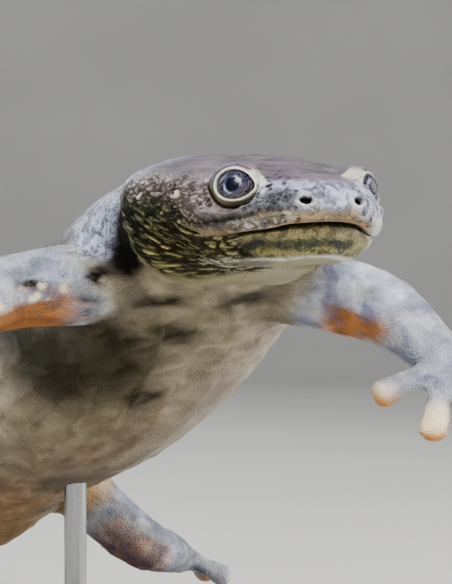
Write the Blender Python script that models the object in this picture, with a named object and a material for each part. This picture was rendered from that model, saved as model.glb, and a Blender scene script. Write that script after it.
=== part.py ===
# Iberian ribbed newt at life size, swimming above a plain display stand.
# Sizes are millimetres until the meshes are made. The newt faces -Y, its left is +X, up is +Z,
# and the origin is the middle of the stand base's underside.
import random
from math import cos, pi, radians, sin, sqrt

import bmesh
import bpy
from mathutils import Matrix, Vector

MM = 0.001
GAP = 0.3
MERGE_DISTANCE = 0.000002
SHARP_ANGLE = radians(50)

# Head, in its own frame: x forward, y left, z up, with its origin between the cheeks
HEAD_AT = Vector((3.0, -51.0, 68.0))
HEAD_PITCH = -5.0
HEAD_YAW = 0.0
HEAD_BACK = -7.0
SNOUT_CENTRE = 17.0
SNOUT_LENGTH = 8.8
SNOUT_WIDTH = 9.4
MOUTH_CORNER = 8.6
MOUTH_CLOSING = 3.5
HEAD_HALF_WIDTH = ((-7, 10.3), (-4.7, 12.7), (-1, 14.0), (3, 13.3), (8, 11.6), (12, 10.6), (17, 9.4))
HEAD_TOP = ((-7, 8.2), (-3, 8.9), (4, 9.1), (12, 8.9), (17, 8.3), (21, 7.2), (24, 6.1), (25.8, 4.6))
HEAD_BOTTOM = ((-7, -5.6), (-3, -6.3), (2, -5.7), (7, -4.4), (12, -3.3), (17, -2.6), (21, -2.0),
               (24, -1.2), (25.2, -0.3))
LIP_LINE = ((-7, 2.2), (8.6, 1.8), (10.4, 1.0), (13, 0.5), (18, 0.45), (20.5, 1.0), (23, 1.6), (25.8, 2.3))
# Heights over the lip line: the head's widest place, and the upper lip's lower edge
LIP_TO_WIDEST = 1.3
LIP_EDGE_DOWN = 0.15
# How far the upper lip stands out over the jaw, by place along the head
LIP_OVERHANG = ((10, 0.75), (18, 1.4))
# Powers that round a section: above 1 is sharper than an ellipse, below 1 is boxier
CROWN_ROUNDING = 0.95
LIP_ROUNDING = 0.55
JAW_TOP_ROUNDING = 0.3
JAW_ROUNDING = 0.9
CHIN_ROUNDING = 1.0
JAW_SHORTER = 1.3
JAW_TIP_HALF_WIDTH = 0.9

# Eyes
EYE_FRONT = Vector((18.3, 8.7, 5.6))
EYE_TURN = 43.0
EYE_TILT = 10.0
EYE_RADIUS = 2.6
EYE_OPENING = (2.3, 1.6)
EYE_OPENING_DEPTH = 3.0
EYE_OPENING_FLARE = 1.15
LID_MOUND = (3.5, 3.0, 3.3)
LID_MOUND_SET_BACK = 2.9
NOSTRIL = Vector((25.3, 3.0, 4.5))
NOSTRIL_RADII = (0.66, 0.55, 1.1)

# Spine, by distance back from the head: pitch and yaw of the way forward, in degrees
SPINE_STEP = 0.5
SPINE_PITCH = ((0, -5), (7, 8), (18, 23), (52, 27), (70, 34), (86, 28), (106, 8), (124, 0), (150, -4),
               (194, -8))
SPINE_YAW = ((0, 0), (4, -14), (13, -14), (28, 5), (52, 12), (74, 10), (92, 0), (114, -14), (140, -8),
             (168, 12), (194, 20))
# Half width, height above and depth below the spine
BODY_WIDTH = ((0, 10.3), (5, 10.6), (12, 14.4), (18, 16.6), (27, 18.2), (40, 19.6), (54, 19.0), (66, 16.4),
              (76, 12.6), (86, 8.8), (98, 6.0), (118, 4.7), (142, 3.6), (164, 2.6), (182, 1.5), (194, 0.6))
BODY_ABOVE = ((0, 8.2), (7, 8.2), (16, 9.4), (28, 11.2), (44, 12.8), (58, 12.6), (70, 11.2), (82, 9.6),
              (97, 9.2), (118, 9.4), (142, 8.8), (164, 6.8), (182, 3.9), (194, 0.9))
BODY_BELOW = ((0, 5.6), (6, 6.6), (15, 10.0), (28, 12.8), (44, 15.0), (58, 14.8), (70, 12.4), (80, 10.6),
              (89, 11.0), (99, 8.2), (118, 7.8), (142, 7.2), (164, 5.6), (182, 3.2), (194, 0.8))
# Power that pinches the section's top and bottom into the tail's fin
FIN_PINCH = ((0, 0.9), (76, 0.95), (92, 1.4), (108, 2.3), (194, 2.6))
FIN_HALF_THICKNESS = 0.28
BODY_LENGTH = 194.0
BODY_CUTS = {"neck": (0, 12), "torso": (12, 74), "pelvis": (74, 90), "tail_base": (90, 122),
             "tail_middle": (122, 158), "tail_tip": (158, 194)}

# Rib warts along each flank
WART_COUNT = 9
WART_FIRST = 27.0
WART_SPACING = 5.3
WART_RADIUS = 1.75
WART_HEIGHT = 1.25
WART_ROOT = 0.9
WART_ANGLE = 14.0
WART_SEED = 7

# Limbs: lengths in millimetres, directions as (out to the side, forward, up)
SHOULDER_AT = 15.5
SHOULDER_OUT = 11.5
SHOULDER_DOWN = 5.0
HIP_AT = 80.0
HIP_OUT = 8.2
HIP_DOWN = 4.2
ARM_LENGTHS = (13.0, 11.5)
LEG_LENGTHS = (14.5, 13.0)
ARM_DIRECTIONS = {"left": ((0.63, 0.73, -0.215), (0.29, 0.82, -0.49)),
                  "right": ((0.97, 0.17, -0.07), (0.86, 0.38, -0.34))}
LEG_DIRECTIONS = {"left": ((0.66, 0.16, -0.62), (0.72, -0.62, -0.30)),
                  "right": ((0.86, 0.10, -0.48), (0.35, -0.72, -0.60))}
ARM_RADII = (5.0, 4.9, 4.8, 4.5, 3.0)
LEG_RADII = (5.6, 5.1, 4.2, 4.0, 3.0)
# How far a limb starts inside the body, along its own way and towards the spine
LIMB_ROOT_BACK = 3.0
LIMB_ROOT_IN = 1.5
LIMB_RING_SPACING = 2.6
HAND_DIRECTIONS = {"left": (-0.19, 0.66, -0.73), "right": (0.80, 0.42, -0.42)}
FOOT_DIRECTIONS = {"left": (0.70, -0.68, -0.22), "right": (0.40, -0.86, -0.32)}
HAND_BACKS = {"left": (-0.29, 0.90, 0.34), "right": (0.30, 0.72, 0.62)}
FOOT_BACKS = {"left": (0.45, -0.10, 0.88), "right": (0.35, -0.18, 0.92)}
# Each finger or toe: fan angle in degrees, length, bend
FINGERS = ((-67, 6.2, 0.12), (-17, 7.4, 0.16), (15, 7.6, 0.16), (48, 6.0, 0.12))
TOES = ((-56, 5.2, 0.10), (-28, 7.4, 0.14), (-4, 8.8, 0.16), (20, 8.6, 0.16), (46, 6.0, 0.12))
FINGER_RADIUS = 1.45
FINGER_FLATNESS = 0.92
# Share of a digit's length, and of its thickness there, from its root to its blunt, swollen tip
DIGIT_SWELL = ((0.0, 1.0), (0.2, 1.0), (0.42, 0.93), (0.62, 0.9), (0.78, 1.02), (0.9, 1.1), (0.965, 0.9),
               (1.0, 0.45))
PALM_LENGTH = 5.6
# Sections of a palm or sole: share of its length, and of its half width and half thickness; the first two
# take the wrist's radius instead
WRIST_SECTIONS = ((0.0, 1.0, 1.0), (0.25, 1.0, 0.85))
PALM_SECTIONS = ((0.6, 0.95, 1.1), (0.95, 1.0, 1.0), (1.2, 0.55, 0.5))
PALM_HALF_WIDTH = 3.7
PALM_HALF_THICKNESS = 1.7
# Share of the palm's length that still follows the forearm, before the hand turns its own way
PALM_TURN = 0.3

# Display stand
BASE_SIZE = (70.0, 112.0, 6.0)
BASE_CORNER = 12.0
BASE_RIM = 1.0
ROD_RADIUS = 1.6
ROD_AT = {"stand_rod_front": 56.0, "stand_rod_rear": 96.0}
COLLAR_RADIUS = 3.6
COLLAR_HEIGHT = 2.0

# Points round a section, and the spacing of sections
HEAD_SIDES = 32
HEAD_RINGS = 12
NOSE_RING_ANGLES = (0, 14, 27, 39, 50, 60, 69, 76.5, 83)
TORSO_SIDES = 26
TAIL_SIDES = 24
LIMB_SIDES = 12
FINGER_SIDES = 8
ROD_SIDES = 20
SECTION_STEP = 4.2

COLOURS = {
    "skin": (0.27, 0.24, 0.27),
    "limb": (0.36, 0.38, 0.46),
    "tail": (0.25, 0.22, 0.21),
    "digit": (0.62, 0.50, 0.32),
    "eye": (0.03, 0.03, 0.06),
    "steel": (0.55, 0.55, 0.56),
    "board": (0.05, 0.045, 0.04),
}
ROUGHNESS = {"skin": 0.4, "limb": 0.4, "tail": 0.4, "digit": 0.45, "eye": 0.08, "steel": 0.3, "board": 0.5}


def clear_scene():
    for obj in list(bpy.data.objects):
        bpy.data.objects.remove(obj)
    for group in list(bpy.data.collections):
        bpy.data.collections.remove(group)


def new_collection(name):
    group = bpy.data.collections.new(name)
    bpy.context.scene.collection.children.link(group)
    return group


def material(name):
    found = bpy.data.materials.get(name)
    if found:
        return found
    made = bpy.data.materials.new(name)
    made.use_nodes = True
    shader = made.node_tree.nodes["Principled BSDF"]
    shader.inputs["Base Color"].default_value = (*COLOURS[name], 1.0)
    shader.inputs["Roughness"].default_value = ROUGHNESS[name]
    shader.inputs["Metallic"].default_value = 1.0 if name == "steel" else 0.0
    made.diffuse_color = (*COLOURS[name], 1.0)
    return made


def smooth_value(keys, x):
    """Value at x of a smooth curve through (x, value) keys."""
    if x <= keys[0][0]:
        return float(keys[0][1])
    if x >= keys[-1][0]:
        return float(keys[-1][1])
    i = max(k for k in range(len(keys) - 1) if keys[k][0] <= x)

    def slope(k):
        low, high = max(k - 1, 0), min(k + 1, len(keys) - 1)
        return (keys[high][1] - keys[low][1]) / (keys[high][0] - keys[low][0])

    (x0, y0), (x1, y1) = keys[i], keys[i + 1]
    span = x1 - x0
    t = (x - x0) / span
    rise = (2 * t**3 - 3 * t**2 + 1) * y0 + (3 * t**2 - 2 * t**3) * y1
    return rise + span * ((t**3 - 2 * t**2 + t) * slope(i) + (t**3 - t**2) * slope(i + 1))


def frame_axes(pitch, yaw):
    """Forward, left and up for a body that is pitched nose up and turned to its left."""
    p, w = radians(pitch), radians(yaw)
    forward = Vector((cos(p) * sin(w), -cos(p) * cos(w), sin(p)))
    left = Vector((cos(w), sin(w), 0.0))
    return forward, left, left.cross(-forward).normalized()


def head_point(x, y, z):
    forward, left, up = frame_axes(HEAD_PITCH, HEAD_YAW)
    return HEAD_AT + forward * x + left * y + up * z


def spine_axes(s):
    return frame_axes(smooth_value(SPINE_PITCH, s), smooth_value(SPINE_YAW, s))


def trace_spine():
    """Points down the back from the head, one each SPINE_STEP."""
    at = head_point(HEAD_BACK, 0, 0)
    points = []
    for i in range(int(BODY_LENGTH / SPINE_STEP) + 1):
        points.append(at.copy())
        at -= spine_axes(i * SPINE_STEP)[0] * SPINE_STEP
    return points


def spine_at(s):
    """Place of the spine at s, with its forward, left and up there."""
    i = min(int(s / SPINE_STEP), len(SPINE) - 2)
    return SPINE[i].lerp(SPINE[i + 1], s / SPINE_STEP - i), spine_axes(s)


def body_section(s, sides):
    """Ring round the body at s, from the belly up the left side and down the right."""
    centre, (_, left, up) = spine_at(s)
    width = smooth_value(BODY_WIDTH, s)
    above = smooth_value(BODY_ABOVE, s)
    below = smooth_value(BODY_BELOW, s)
    pinch = smooth_value(FIN_PINCH, s)
    ring = []
    for i in range(sides):
        turn = -pi / 2 + 2 * pi * i / sides
        across = abs(cos(turn)) ** pinch * width
        if i not in (0, sides // 2):
            across = max(across, min(FIN_HALF_THICKNESS, width))
        else:
            across = 0.0
        side = 1 if i < sides // 2 else -1
        height = sin(turn) * (above if sin(turn) > 0 else below)
        ring.append(centre + left * (across * side) + up * height)
    return ring


def loft(name, rings, colour, group):
    """Closed loft through rings of equal count, with the same triangles on left and right."""
    bm = bmesh.new()
    loops = [[bm.verts.new(p * MM) for p in ring] for ring in rings]
    count = len(loops[0])
    for near, far in zip(loops, loops[1:]):
        for i in range(count):
            j = (i + 1) % count
            if i < count // 2:
                bm.faces.new((near[i], near[j], far[j]))
                bm.faces.new((near[i], far[j], far[i]))
            else:
                bm.faces.new((near[i], near[j], far[i]))
                bm.faces.new((near[j], far[j], far[i]))
    bm.faces.new(loops[0][::-1])
    bm.faces.new(loops[-1])
    bmesh.ops.recalc_face_normals(bm, faces=bm.faces)
    return mesh_object(name, bm, colour, group)


def mesh_object(name, bm, colour, group):
    mesh = bpy.data.meshes.new(name)
    bm.to_mesh(mesh)
    bm.free()
    mesh.materials.append(material(colour))
    mesh.shade_smooth()
    mesh.set_sharp_from_angle(angle=SHARP_ANGLE)
    obj = bpy.data.objects.new(name, mesh)
    group.objects.link(obj)
    return obj


def ball(name, centre, radii, axes, sides, rows, group):
    """Closed ellipsoid with its own axes, for lids, pits and warts."""
    bm = bmesh.new()
    bmesh.ops.create_uvsphere(bm, u_segments=sides, v_segments=rows, radius=1.0)
    turn = Matrix([[axes[c][r] for c in range(3)] for r in range(3)])
    for v in bm.verts:
        local = Vector((v.co.x * radii[0], v.co.y * radii[1], v.co.z * radii[2]))
        v.co = (centre + turn @ local) * MM
    return mesh_object(name, bm, "skin", group)


def bake(obj, colour):
    """Applies the modifiers and keeps the largest closed surface."""
    graph = bpy.context.evaluated_depsgraph_get()
    mesh = bpy.data.meshes.new_from_object(obj.evaluated_get(graph))
    obj.modifiers.clear()
    obj.data = mesh
    mesh.materials.clear()
    mesh.materials.append(material(colour))
    bm = bmesh.new()
    bm.from_mesh(mesh)
    bmesh.ops.remove_doubles(bm, verts=bm.verts, dist=MERGE_DISTANCE)
    bmesh.ops.triangulate(bm, faces=bm.faces)
    islands = []
    seen = set()
    for first in bm.faces:
        if first in seen:
            continue
        island = [first]
        seen.add(first)
        for face in island:
            for edge in face.edges:
                for other in edge.link_faces:
                    if other not in seen:
                        seen.add(other)
                        island.append(other)
        islands.append(island)
    largest = max(islands, key=lambda faces: sum(f.calc_area() for f in faces))
    loose = [f for faces in islands if faces is not largest for f in faces]
    bmesh.ops.delete(bm, geom=loose, context="FACES")
    bm.to_mesh(mesh)
    bm.free()
    mesh.shade_smooth()
    mesh.set_sharp_from_angle(angle=SHARP_ANGLE)


def combine(obj, pieces, operation, colour):
    """One Boolean of obj with a collection of pieces, which are then removed."""
    helpers = new_collection("pieces_of_" + obj.name)
    for piece in pieces:
        for group in list(piece.users_collection):
            group.objects.unlink(piece)
        helpers.objects.link(piece)
    cut = obj.modifiers.new(operation.lower(), "BOOLEAN")
    cut.operation = operation
    cut.operand_type = "COLLECTION"
    cut.collection = helpers
    cut.solver = "EXACT"
    bake(obj, colour)
    for piece in pieces:
        bpy.data.objects.remove(piece)
    bpy.data.collections.remove(helpers)


def grown_copy(obj, distance, group):
    """Copy of obj with its surface moved outwards."""
    bm = bmesh.new()
    bm.from_mesh(obj.data)
    bmesh.ops.remove_doubles(bm, verts=bm.verts, dist=MERGE_DISTANCE)
    bm.normal_update()
    shifts = [(v, v.normal * v.calc_shell_factor() * distance * MM) for v in bm.verts]
    for v, shift in shifts:
        v.co += shift
    return mesh_object(obj.name + "_grown", bm, "skin", group)


def head_half_width(x, shorter=0.0):
    """Half width of the head, round in front, with the jaw a little shorter than the snout."""
    if x <= SNOUT_CENTRE:
        return smooth_value(HEAD_HALF_WIDTH, x)
    share = (x - SNOUT_CENTRE) / (SNOUT_LENGTH - shorter)
    return SNOUT_WIDTH * sqrt(max(1 - share * share, 0.0))


def head_stations(front):
    """Places of the head's sections, closer together towards the round snout."""
    spacing = (SNOUT_CENTRE - HEAD_BACK) / HEAD_RINGS
    back = [HEAD_BACK + GAP / 2 + i * spacing for i in range(HEAD_RINGS)]
    nose = [SNOUT_CENTRE + front * sin(radians(a)) for a in NOSE_RING_ANGLES]
    return back + nose


def upper_head(group):
    rings = []
    for x in head_stations(SNOUT_LENGTH):
        width = head_half_width(x)
        lip = smooth_value(LIP_LINE, x)
        top = smooth_value(HEAD_TOP, x)
        nose = max((x - SNOUT_CENTRE) / SNOUT_LENGTH, 0.0)
        widest = lip + LIP_TO_WIDEST
        low = lip - LIP_EDGE_DOWN + 0.5 * nose
        ring = []
        for i in range(HEAD_SIDES):
            turn = -pi / 2 + 2 * pi * i / HEAD_SIDES
            side = 1 if i < HEAD_SIDES // 2 else -1
            across = side * width * abs(cos(turn)) ** (CROWN_ROUNDING if sin(turn) > 0 else LIP_ROUNDING)
            if sin(turn) > 0:
                height = widest + (top - widest) * sin(turn)
            else:
                height = widest + (widest - low) * sin(turn)
            ring.append(head_point(x, across, height))
        rings.append(ring)
    return loft("head", rings, "skin", group)


def lower_jaw(group):
    rings = []
    for x in head_stations(SNOUT_LENGTH - JAW_SHORTER):
        closing = min(max((x - MOUTH_CORNER) / MOUTH_CLOSING + 0.55, 0.0), 1.0)
        width = head_half_width(x, JAW_SHORTER) - smooth_value(LIP_OVERHANG, x) * closing
        width = max(width, JAW_TIP_HALF_WIDTH)
        lip = smooth_value(LIP_LINE, x)
        nose = max((x - SNOUT_CENTRE) / (SNOUT_LENGTH - JAW_SHORTER), 0.0)
        bottom = smooth_value(HEAD_BOTTOM, x)
        middle = lip + LIP_TO_WIDEST - 1.9 * closing
        top = middle + 0.6 + 1.3 * closing
        ring = []
        for i in range(HEAD_SIDES):
            turn = -pi / 2 + 2 * pi * i / HEAD_SIDES
            side = 1 if i < HEAD_SIDES // 2 else -1
            if sin(turn) > 0:
                across = width * abs(cos(turn)) ** JAW_TOP_ROUNDING
                height = middle + (top - middle) * sin(turn)
            else:
                across = width * abs(cos(turn)) ** (JAW_ROUNDING + (CHIN_ROUNDING - JAW_ROUNDING) * nose)
                height = middle + (middle - bottom) * sin(turn)
            ring.append(head_point(x, side * across, height))
        rings.append(ring)
    return loft("jaw", rings, "skin", group)


def eye_axes(side):
    """Outward, level and upward axes of one eye in the head's frame."""
    turn, tilt = radians(EYE_TURN), radians(EYE_TILT)
    out = Vector((cos(turn) * cos(tilt), side * sin(turn) * cos(tilt), sin(tilt)))
    level = Vector((0, 0, 1)).cross(out).normalized()
    return out, level, out.cross(level).normalized()


def head_direction(v):
    return head_point(*v) - head_point(0, 0, 0)


def eye_place(side):
    out, level, up = eye_axes(side)
    front = Vector((EYE_FRONT.x, side * EYE_FRONT.y, EYE_FRONT.z))
    mound = front - out * LID_MOUND_SET_BACK
    centre = front - out * EYE_RADIUS
    axes = [head_direction(v) for v in (level, up, out)]
    return head_point(*mound), head_point(*centre), axes


def make_head(group):
    head = upper_head(group)
    added = [lower_jaw(group)]
    cuts = []
    for side in (1, -1):
        mound, centre, axes = eye_place(side)
        added.append(ball("mound", mound, LID_MOUND, axes, 16, 12, group))
        cuts.append(ball("socket", centre, [EYE_RADIUS + GAP] * 3, axes, 16, 12, group))
        cuts.append(opening_plug(centre, axes, group))
        nostril = head_point(NOSTRIL.x, side * NOSTRIL.y, NOSTRIL.z)
        cuts.append(ball("nostril", nostril, NOSTRIL_RADII, axes, 8, 6, group))
    combine(head, added, "UNION", "skin")
    combine(head, cuts, "DIFFERENCE", "skin")
    return head


def opening_plug(centre, axes, group):
    """Short cone that opens the lids in front of an eye."""
    bm = bmesh.new()
    bmesh.ops.create_cone(bm, cap_ends=True, segments=16, radius1=1.0, radius2=EYE_OPENING_FLARE,
                          depth=EYE_OPENING_DEPTH)
    turn = Matrix([[axes[c][r] for c in range(3)] for r in range(3)])
    middle = EYE_RADIUS + 0.7
    for v in bm.verts:
        local = Vector((v.co.x * EYE_OPENING[0], v.co.y * EYE_OPENING[1], v.co.z + middle))
        v.co = (centre + turn @ local) * MM
    return mesh_object("opening", bm, "skin", group)


def make_eyes(group):
    for side, name in ((1, "eye_left"), (-1, "eye_right")):
        _, centre, axes = eye_place(side)
        eye = ball(name, centre, [EYE_RADIUS] * 3, axes, 16, 12, group)
        eye.data.materials[0] = material("eye")


def make_body(group):
    made = {}
    for name, (start, end) in BODY_CUTS.items():
        last = end == BODY_LENGTH
        first, final = start + GAP / 2, end - (0 if last else GAP / 2)
        count = max(int((final - first) / SECTION_STEP + 0.5), 3)
        sides = TAIL_SIDES if "tail" in name else TORSO_SIDES
        rings = [body_section(first + (final - first) * i / count, sides) for i in range(count + 1)]
        made[name] = loft(name, rings, "tail" if "tail" in name else "skin", group)
    return made


def add_warts(torso, group):
    """Row of rib warts along each flank, each with its root sunk in the torso."""
    draw = random.Random(WART_SEED)
    warts = []
    for side in (1, -1):
        for i in range(WART_COUNT):
            s = WART_FIRST + i * WART_SPACING + draw.uniform(-0.5, 0.5)
            centre, (forward, left, up) = spine_at(s)
            angle = radians(WART_ANGLE + draw.uniform(-4, 4))
            width = smooth_value(BODY_WIDTH, s)
            above = smooth_value(BODY_ABOVE, s)
            at = centre + left * (side * width * cos(angle)) + up * (above * sin(angle))
            out = (left * (side * cos(angle) / width) + up * (sin(angle) / above)).normalized()
            size = WART_RADIUS * draw.uniform(0.85, 1.15)
            across = forward.cross(out).normalized()
            axes = [across, out.cross(across).normalized(), out]
            radii = (size, size * 1.15, WART_HEIGHT + WART_ROOT)
            warts.append(ball("wart", at - out * WART_ROOT, radii, axes, 8, 6, group))
    combine(torso, warts, "UNION", "skin")


def body_direction(side, way):
    """World direction of (out, forward, up) for a limb on one side."""
    return Vector((side * way[0], -way[1], way[2])).normalized()


def limb_curve(points):
    """Distances of the limb's joints, and the smooth curve through them."""
    keys = [0.0]
    for a, b in zip(points, points[1:]):
        keys.append(keys[-1] + (b - a).length)
    axes = [tuple((k, p[c]) for k, p in zip(keys, points)) for c in range(3)]
    return keys, lambda s: Vector([smooth_value(axes[c], s) for c in range(3)])


def tube_rings(points, radii, sides, flat=1.0, up_hint=Vector((0, 0, 1)), ways=None):
    """Rings round a run of points, flattened by a share across the hint's direction."""
    rings = []
    for i, (p, r) in enumerate(zip(points, radii)):
        ahead = points[min(i + 1, len(points) - 1)] - points[max(i - 1, 0)]
        ahead = (ways[i] if ways else ahead).normalized()
        across = up_hint.cross(ahead).normalized()
        up = ahead.cross(across).normalized()
        ring = []
        for k in range(sides):
            turn = -pi / 2 + 2 * pi * k / sides
            ring.append(p + across * (r * cos(turn)) + up * (r * flat * sin(turn)))
        rings.append(ring)
    return rings


def make_limb(names, root, out_point, directions, lengths, radii, side, group):
    """Two lengths of a limb, from inside the body to the wrist or ankle, where it arrives on its own way."""
    upper_way = body_direction(side, directions[0])
    lower_way = body_direction(side, directions[1])
    elbow = out_point + upper_way * lengths[0]
    wrist = elbow + lower_way * lengths[1]
    keys, path = limb_curve([root, out_point, elbow, wrist])
    radius_keys = tuple(zip((keys[0], keys[1], (keys[1] + keys[2]) / 2, keys[2], keys[3]), radii))
    total = keys[-1]

    def run(start, end):
        count = max(int((end - start) / LIMB_RING_SPACING), 3)
        stations = [start + (end - start) * i / count for i in range(count + 1)]
        ways = [path(min(s + 0.2, total)) - path(max(s - 0.2, 0)) for s in stations]
        sizes = [smooth_value(radius_keys, s) for s in stations]
        hint = Vector((0.3 * side, 0.2, 1.0))
        return tube_rings([path(s) for s in stations], sizes, LIMB_SIDES, 1.0, hint, ways)

    upper = loft(names[0], run(0, keys[2] - GAP / 2), "limb", group)
    loft(names[1], run(keys[2] + GAP / 2, total - GAP / 2), "limb", group)
    return upper, wrist, lower_way


def palm_rings(start, arrive, point, normal, wrist_radius):
    """Rings of a palm or sole that leaves the wrist its way and then turns towards the digits."""
    sections = [(share, w * wrist_radius, t * wrist_radius) for share, w, t in WRIST_SECTIONS]
    sections += [(share, w * PALM_HALF_WIDTH, t * PALM_HALF_THICKNESS) for share, w, t in PALM_SECTIONS]
    turned = PALM_SECTIONS[0][0]
    rings = []
    for share, half_width, half_thick in sections:
        ahead = arrive.lerp(point, min(share / turned, 1.0)).normalized()
        up = (normal - ahead * normal.dot(ahead)).normalized()
        across = ahead.cross(up)
        straight = min(share, PALM_TURN)
        centre = start + (arrive * straight + point * (share - straight)) * PALM_LENGTH
        ring = []
        for k in range(LIMB_SIDES):
            turn = -pi / 2 + 2 * pi * k / LIMB_SIDES
            ring.append(centre + across * (half_width * cos(turn)) + up * (half_thick * sin(turn)))
        rings.append(ring)
    return rings


def make_digits(name, wrist, arrive, point, back, wrist_radius, digits, side, group):
    """Palm or sole with its fingers or toes, fused into one piece."""
    normal = (back - point * back.dot(point)).normalized()
    across = normal.cross(point).normalized() * side
    start = wrist + arrive * (GAP / 2)
    palm = loft(name, palm_rings(start, arrive, point, normal, wrist_radius), "digit", group)
    middle = start + (arrive * PALM_TURN + point * 0.2) * PALM_LENGTH
    fingers = []
    for fan, length, bend in digits:
        turn = radians(fan)
        ahead = point * cos(turn) + across * sin(turn)
        root = middle + across * (sin(turn) * PALM_HALF_WIDTH * 0.35)
        reach = PALM_LENGTH * 0.45 + length
        shares = [share for share, _ in DIGIT_SWELL]
        places = [root + (ahead * share - normal * (bend * share**2)) * reach for share in shares]
        sizes = [FINGER_RADIUS * swell for _, swell in DIGIT_SWELL]
        rings = tube_rings(places, sizes, FINGER_SIDES, FINGER_FLATNESS, normal)
        fingers.append(loft("finger", rings, "digit", group))
    combine(palm, fingers, "UNION", "digit")


def make_limbs(body, group):
    for side, tag in ((1, "left"), (-1, "right")):
        for kind in ("arm", "leg"):
            arm = kind == "arm"
            s, out, down = (SHOULDER_AT, SHOULDER_OUT, SHOULDER_DOWN) if arm else (HIP_AT, HIP_OUT, HIP_DOWN)
            centre, (_, left, up) = spine_at(s)
            directions = (ARM_DIRECTIONS if arm else LEG_DIRECTIONS)[tag]
            lengths = ARM_LENGTHS if arm else LEG_LENGTHS
            radii = ARM_RADII if arm else LEG_RADII
            joint = centre + left * (side * out) - up * down
            root = joint - body_direction(side, directions[0]) * LIMB_ROOT_BACK - left * (side * LIMB_ROOT_IN)
            names = [("upper_arm_" if arm else "thigh_") + tag, ("forearm_" if arm else "shin_") + tag]
            upper, wrist, arrive = make_limb(names, root, joint, directions, lengths, radii, side, group)
            near = ("torso", "neck") if arm else ("pelvis", "torso", "tail_base")
            combine(upper, [grown_copy(body[n], GAP, group) for n in near], "DIFFERENCE", "limb")
            way = body_direction(side, (HAND_DIRECTIONS if arm else FOOT_DIRECTIONS)[tag])
            back = body_direction(side, (HAND_BACKS if arm else FOOT_BACKS)[tag])
            make_digits(("hand_" if arm else "foot_") + tag, wrist, arrive, way, back, radii[-1],
                        FINGERS if arm else TOES, side, group)


def make_stand(body, group):
    width, length, height = (v * MM for v in BASE_SIZE)
    bm = bmesh.new()
    bmesh.ops.create_cube(bm, size=1.0)
    bmesh.ops.scale(bm, vec=(width, length, height), verts=bm.verts)
    bmesh.ops.translate(bm, vec=(0, 0, height / 2), verts=bm.verts)
    corners = [e for e in bm.edges if abs(e.verts[0].co.z - e.verts[1].co.z) > height / 2]
    rounding = {"affect": "EDGES", "profile": 0.5, "material": -1}
    bmesh.ops.bevel(bm, geom=corners, offset=BASE_CORNER * MM, segments=6, **rounding)
    rim = [e for e in bm.edges if min(v.co.z for v in e.verts) > height * 0.99]
    bmesh.ops.bevel(bm, geom=rim, offset=BASE_RIM * MM, segments=2, **rounding)
    mesh_object("stand_base", bm, "board", group)
    for name, s in ROD_AT.items():
        centre, _ = spine_at(s)
        foot_z = BASE_SIZE[2] + GAP
        rod = post(name, centre.x, centre.y, foot_z, centre.z, ROD_RADIUS, group)
        collar = post("collar", centre.x, centre.y, foot_z, foot_z + COLLAR_HEIGHT, COLLAR_RADIUS, group)
        combine(rod, [collar], "UNION", "steel")
        combine(rod, [grown_copy(node, GAP, group) for node in body.values()], "DIFFERENCE", "steel")


def post(name, x, y, low, high, radius, group):
    bm = bmesh.new()
    bmesh.ops.create_cone(bm, cap_ends=True, segments=ROD_SIDES, radius1=radius * MM, radius2=radius * MM,
                          depth=(high - low) * MM)
    bmesh.ops.translate(bm, vec=(x * MM, y * MM, (low + high) / 2 * MM), verts=bm.verts)
    return mesh_object(name, bm, "steel", group)


SPINE = trace_spine()
clear_scene()
newt = new_collection("iberian_ribbed_newt")
make_head(newt)
make_eyes(newt)
body_nodes = make_body(newt)
make_limbs(body_nodes, newt)
make_stand(body_nodes, newt)
add_warts(body_nodes["torso"], newt)
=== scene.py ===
# Looks of a still, life-size Iberian ribbed newt: one moist skin over its solids, wet eyes and a plain stand
import math
import random
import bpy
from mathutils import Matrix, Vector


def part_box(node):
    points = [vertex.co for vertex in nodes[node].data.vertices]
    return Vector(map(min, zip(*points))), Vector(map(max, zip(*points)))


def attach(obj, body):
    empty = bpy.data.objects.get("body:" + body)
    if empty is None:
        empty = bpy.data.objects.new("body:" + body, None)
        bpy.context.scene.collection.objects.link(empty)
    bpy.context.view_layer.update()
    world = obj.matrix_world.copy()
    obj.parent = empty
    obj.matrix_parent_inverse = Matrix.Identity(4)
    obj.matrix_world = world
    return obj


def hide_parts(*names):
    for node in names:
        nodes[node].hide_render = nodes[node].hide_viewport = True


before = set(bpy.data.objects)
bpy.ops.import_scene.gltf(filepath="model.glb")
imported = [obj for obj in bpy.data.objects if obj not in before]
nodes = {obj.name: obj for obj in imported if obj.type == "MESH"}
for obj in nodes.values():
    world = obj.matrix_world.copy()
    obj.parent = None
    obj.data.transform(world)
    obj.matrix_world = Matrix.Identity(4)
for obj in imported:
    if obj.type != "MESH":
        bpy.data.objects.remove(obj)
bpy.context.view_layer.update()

from types import SimpleNamespace

import bmesh
import bpy
import numpy as np
from mathutils import Matrix, Vector, noise
from mathutils.bvhtree import BVHTree

mm = 0.001

# The head's own frame, in millimetres: forward, left and up from a point between the cheeks
headPlan = {
    "at": (3.0, -51.0, 68.0),
    "pitch": -5.0,
    "halfWidth": ((-7, 10.3), (-4.7, 12.7), (-1, 14.0), (3, 13.3), (8, 11.6), (12, 10.6), (17, 9.4),
                  (21, 8.4), (24, 5.7), (25.8, 0.5)),
    "mouth": ((8.0, 1.7), (8.8, 1.0), (10.2, 0.45), (13, 0.05), (16.6, 0.15), (20.5, 0.78), (22.5, 1.25),
              (23.8, 1.72), (25.8, 2.2)),
    "jawRim": ((5, -3.7), (10, -2.95), (14, -2.45), (17, -2.15), (20, -1.9), (24, -1.5)),
    "mouthEnd": 8.0,
    "nostril": (25.0, -3.1, 4.55),
    "pit": (21.4, -5.7, 6.0),
}

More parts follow.
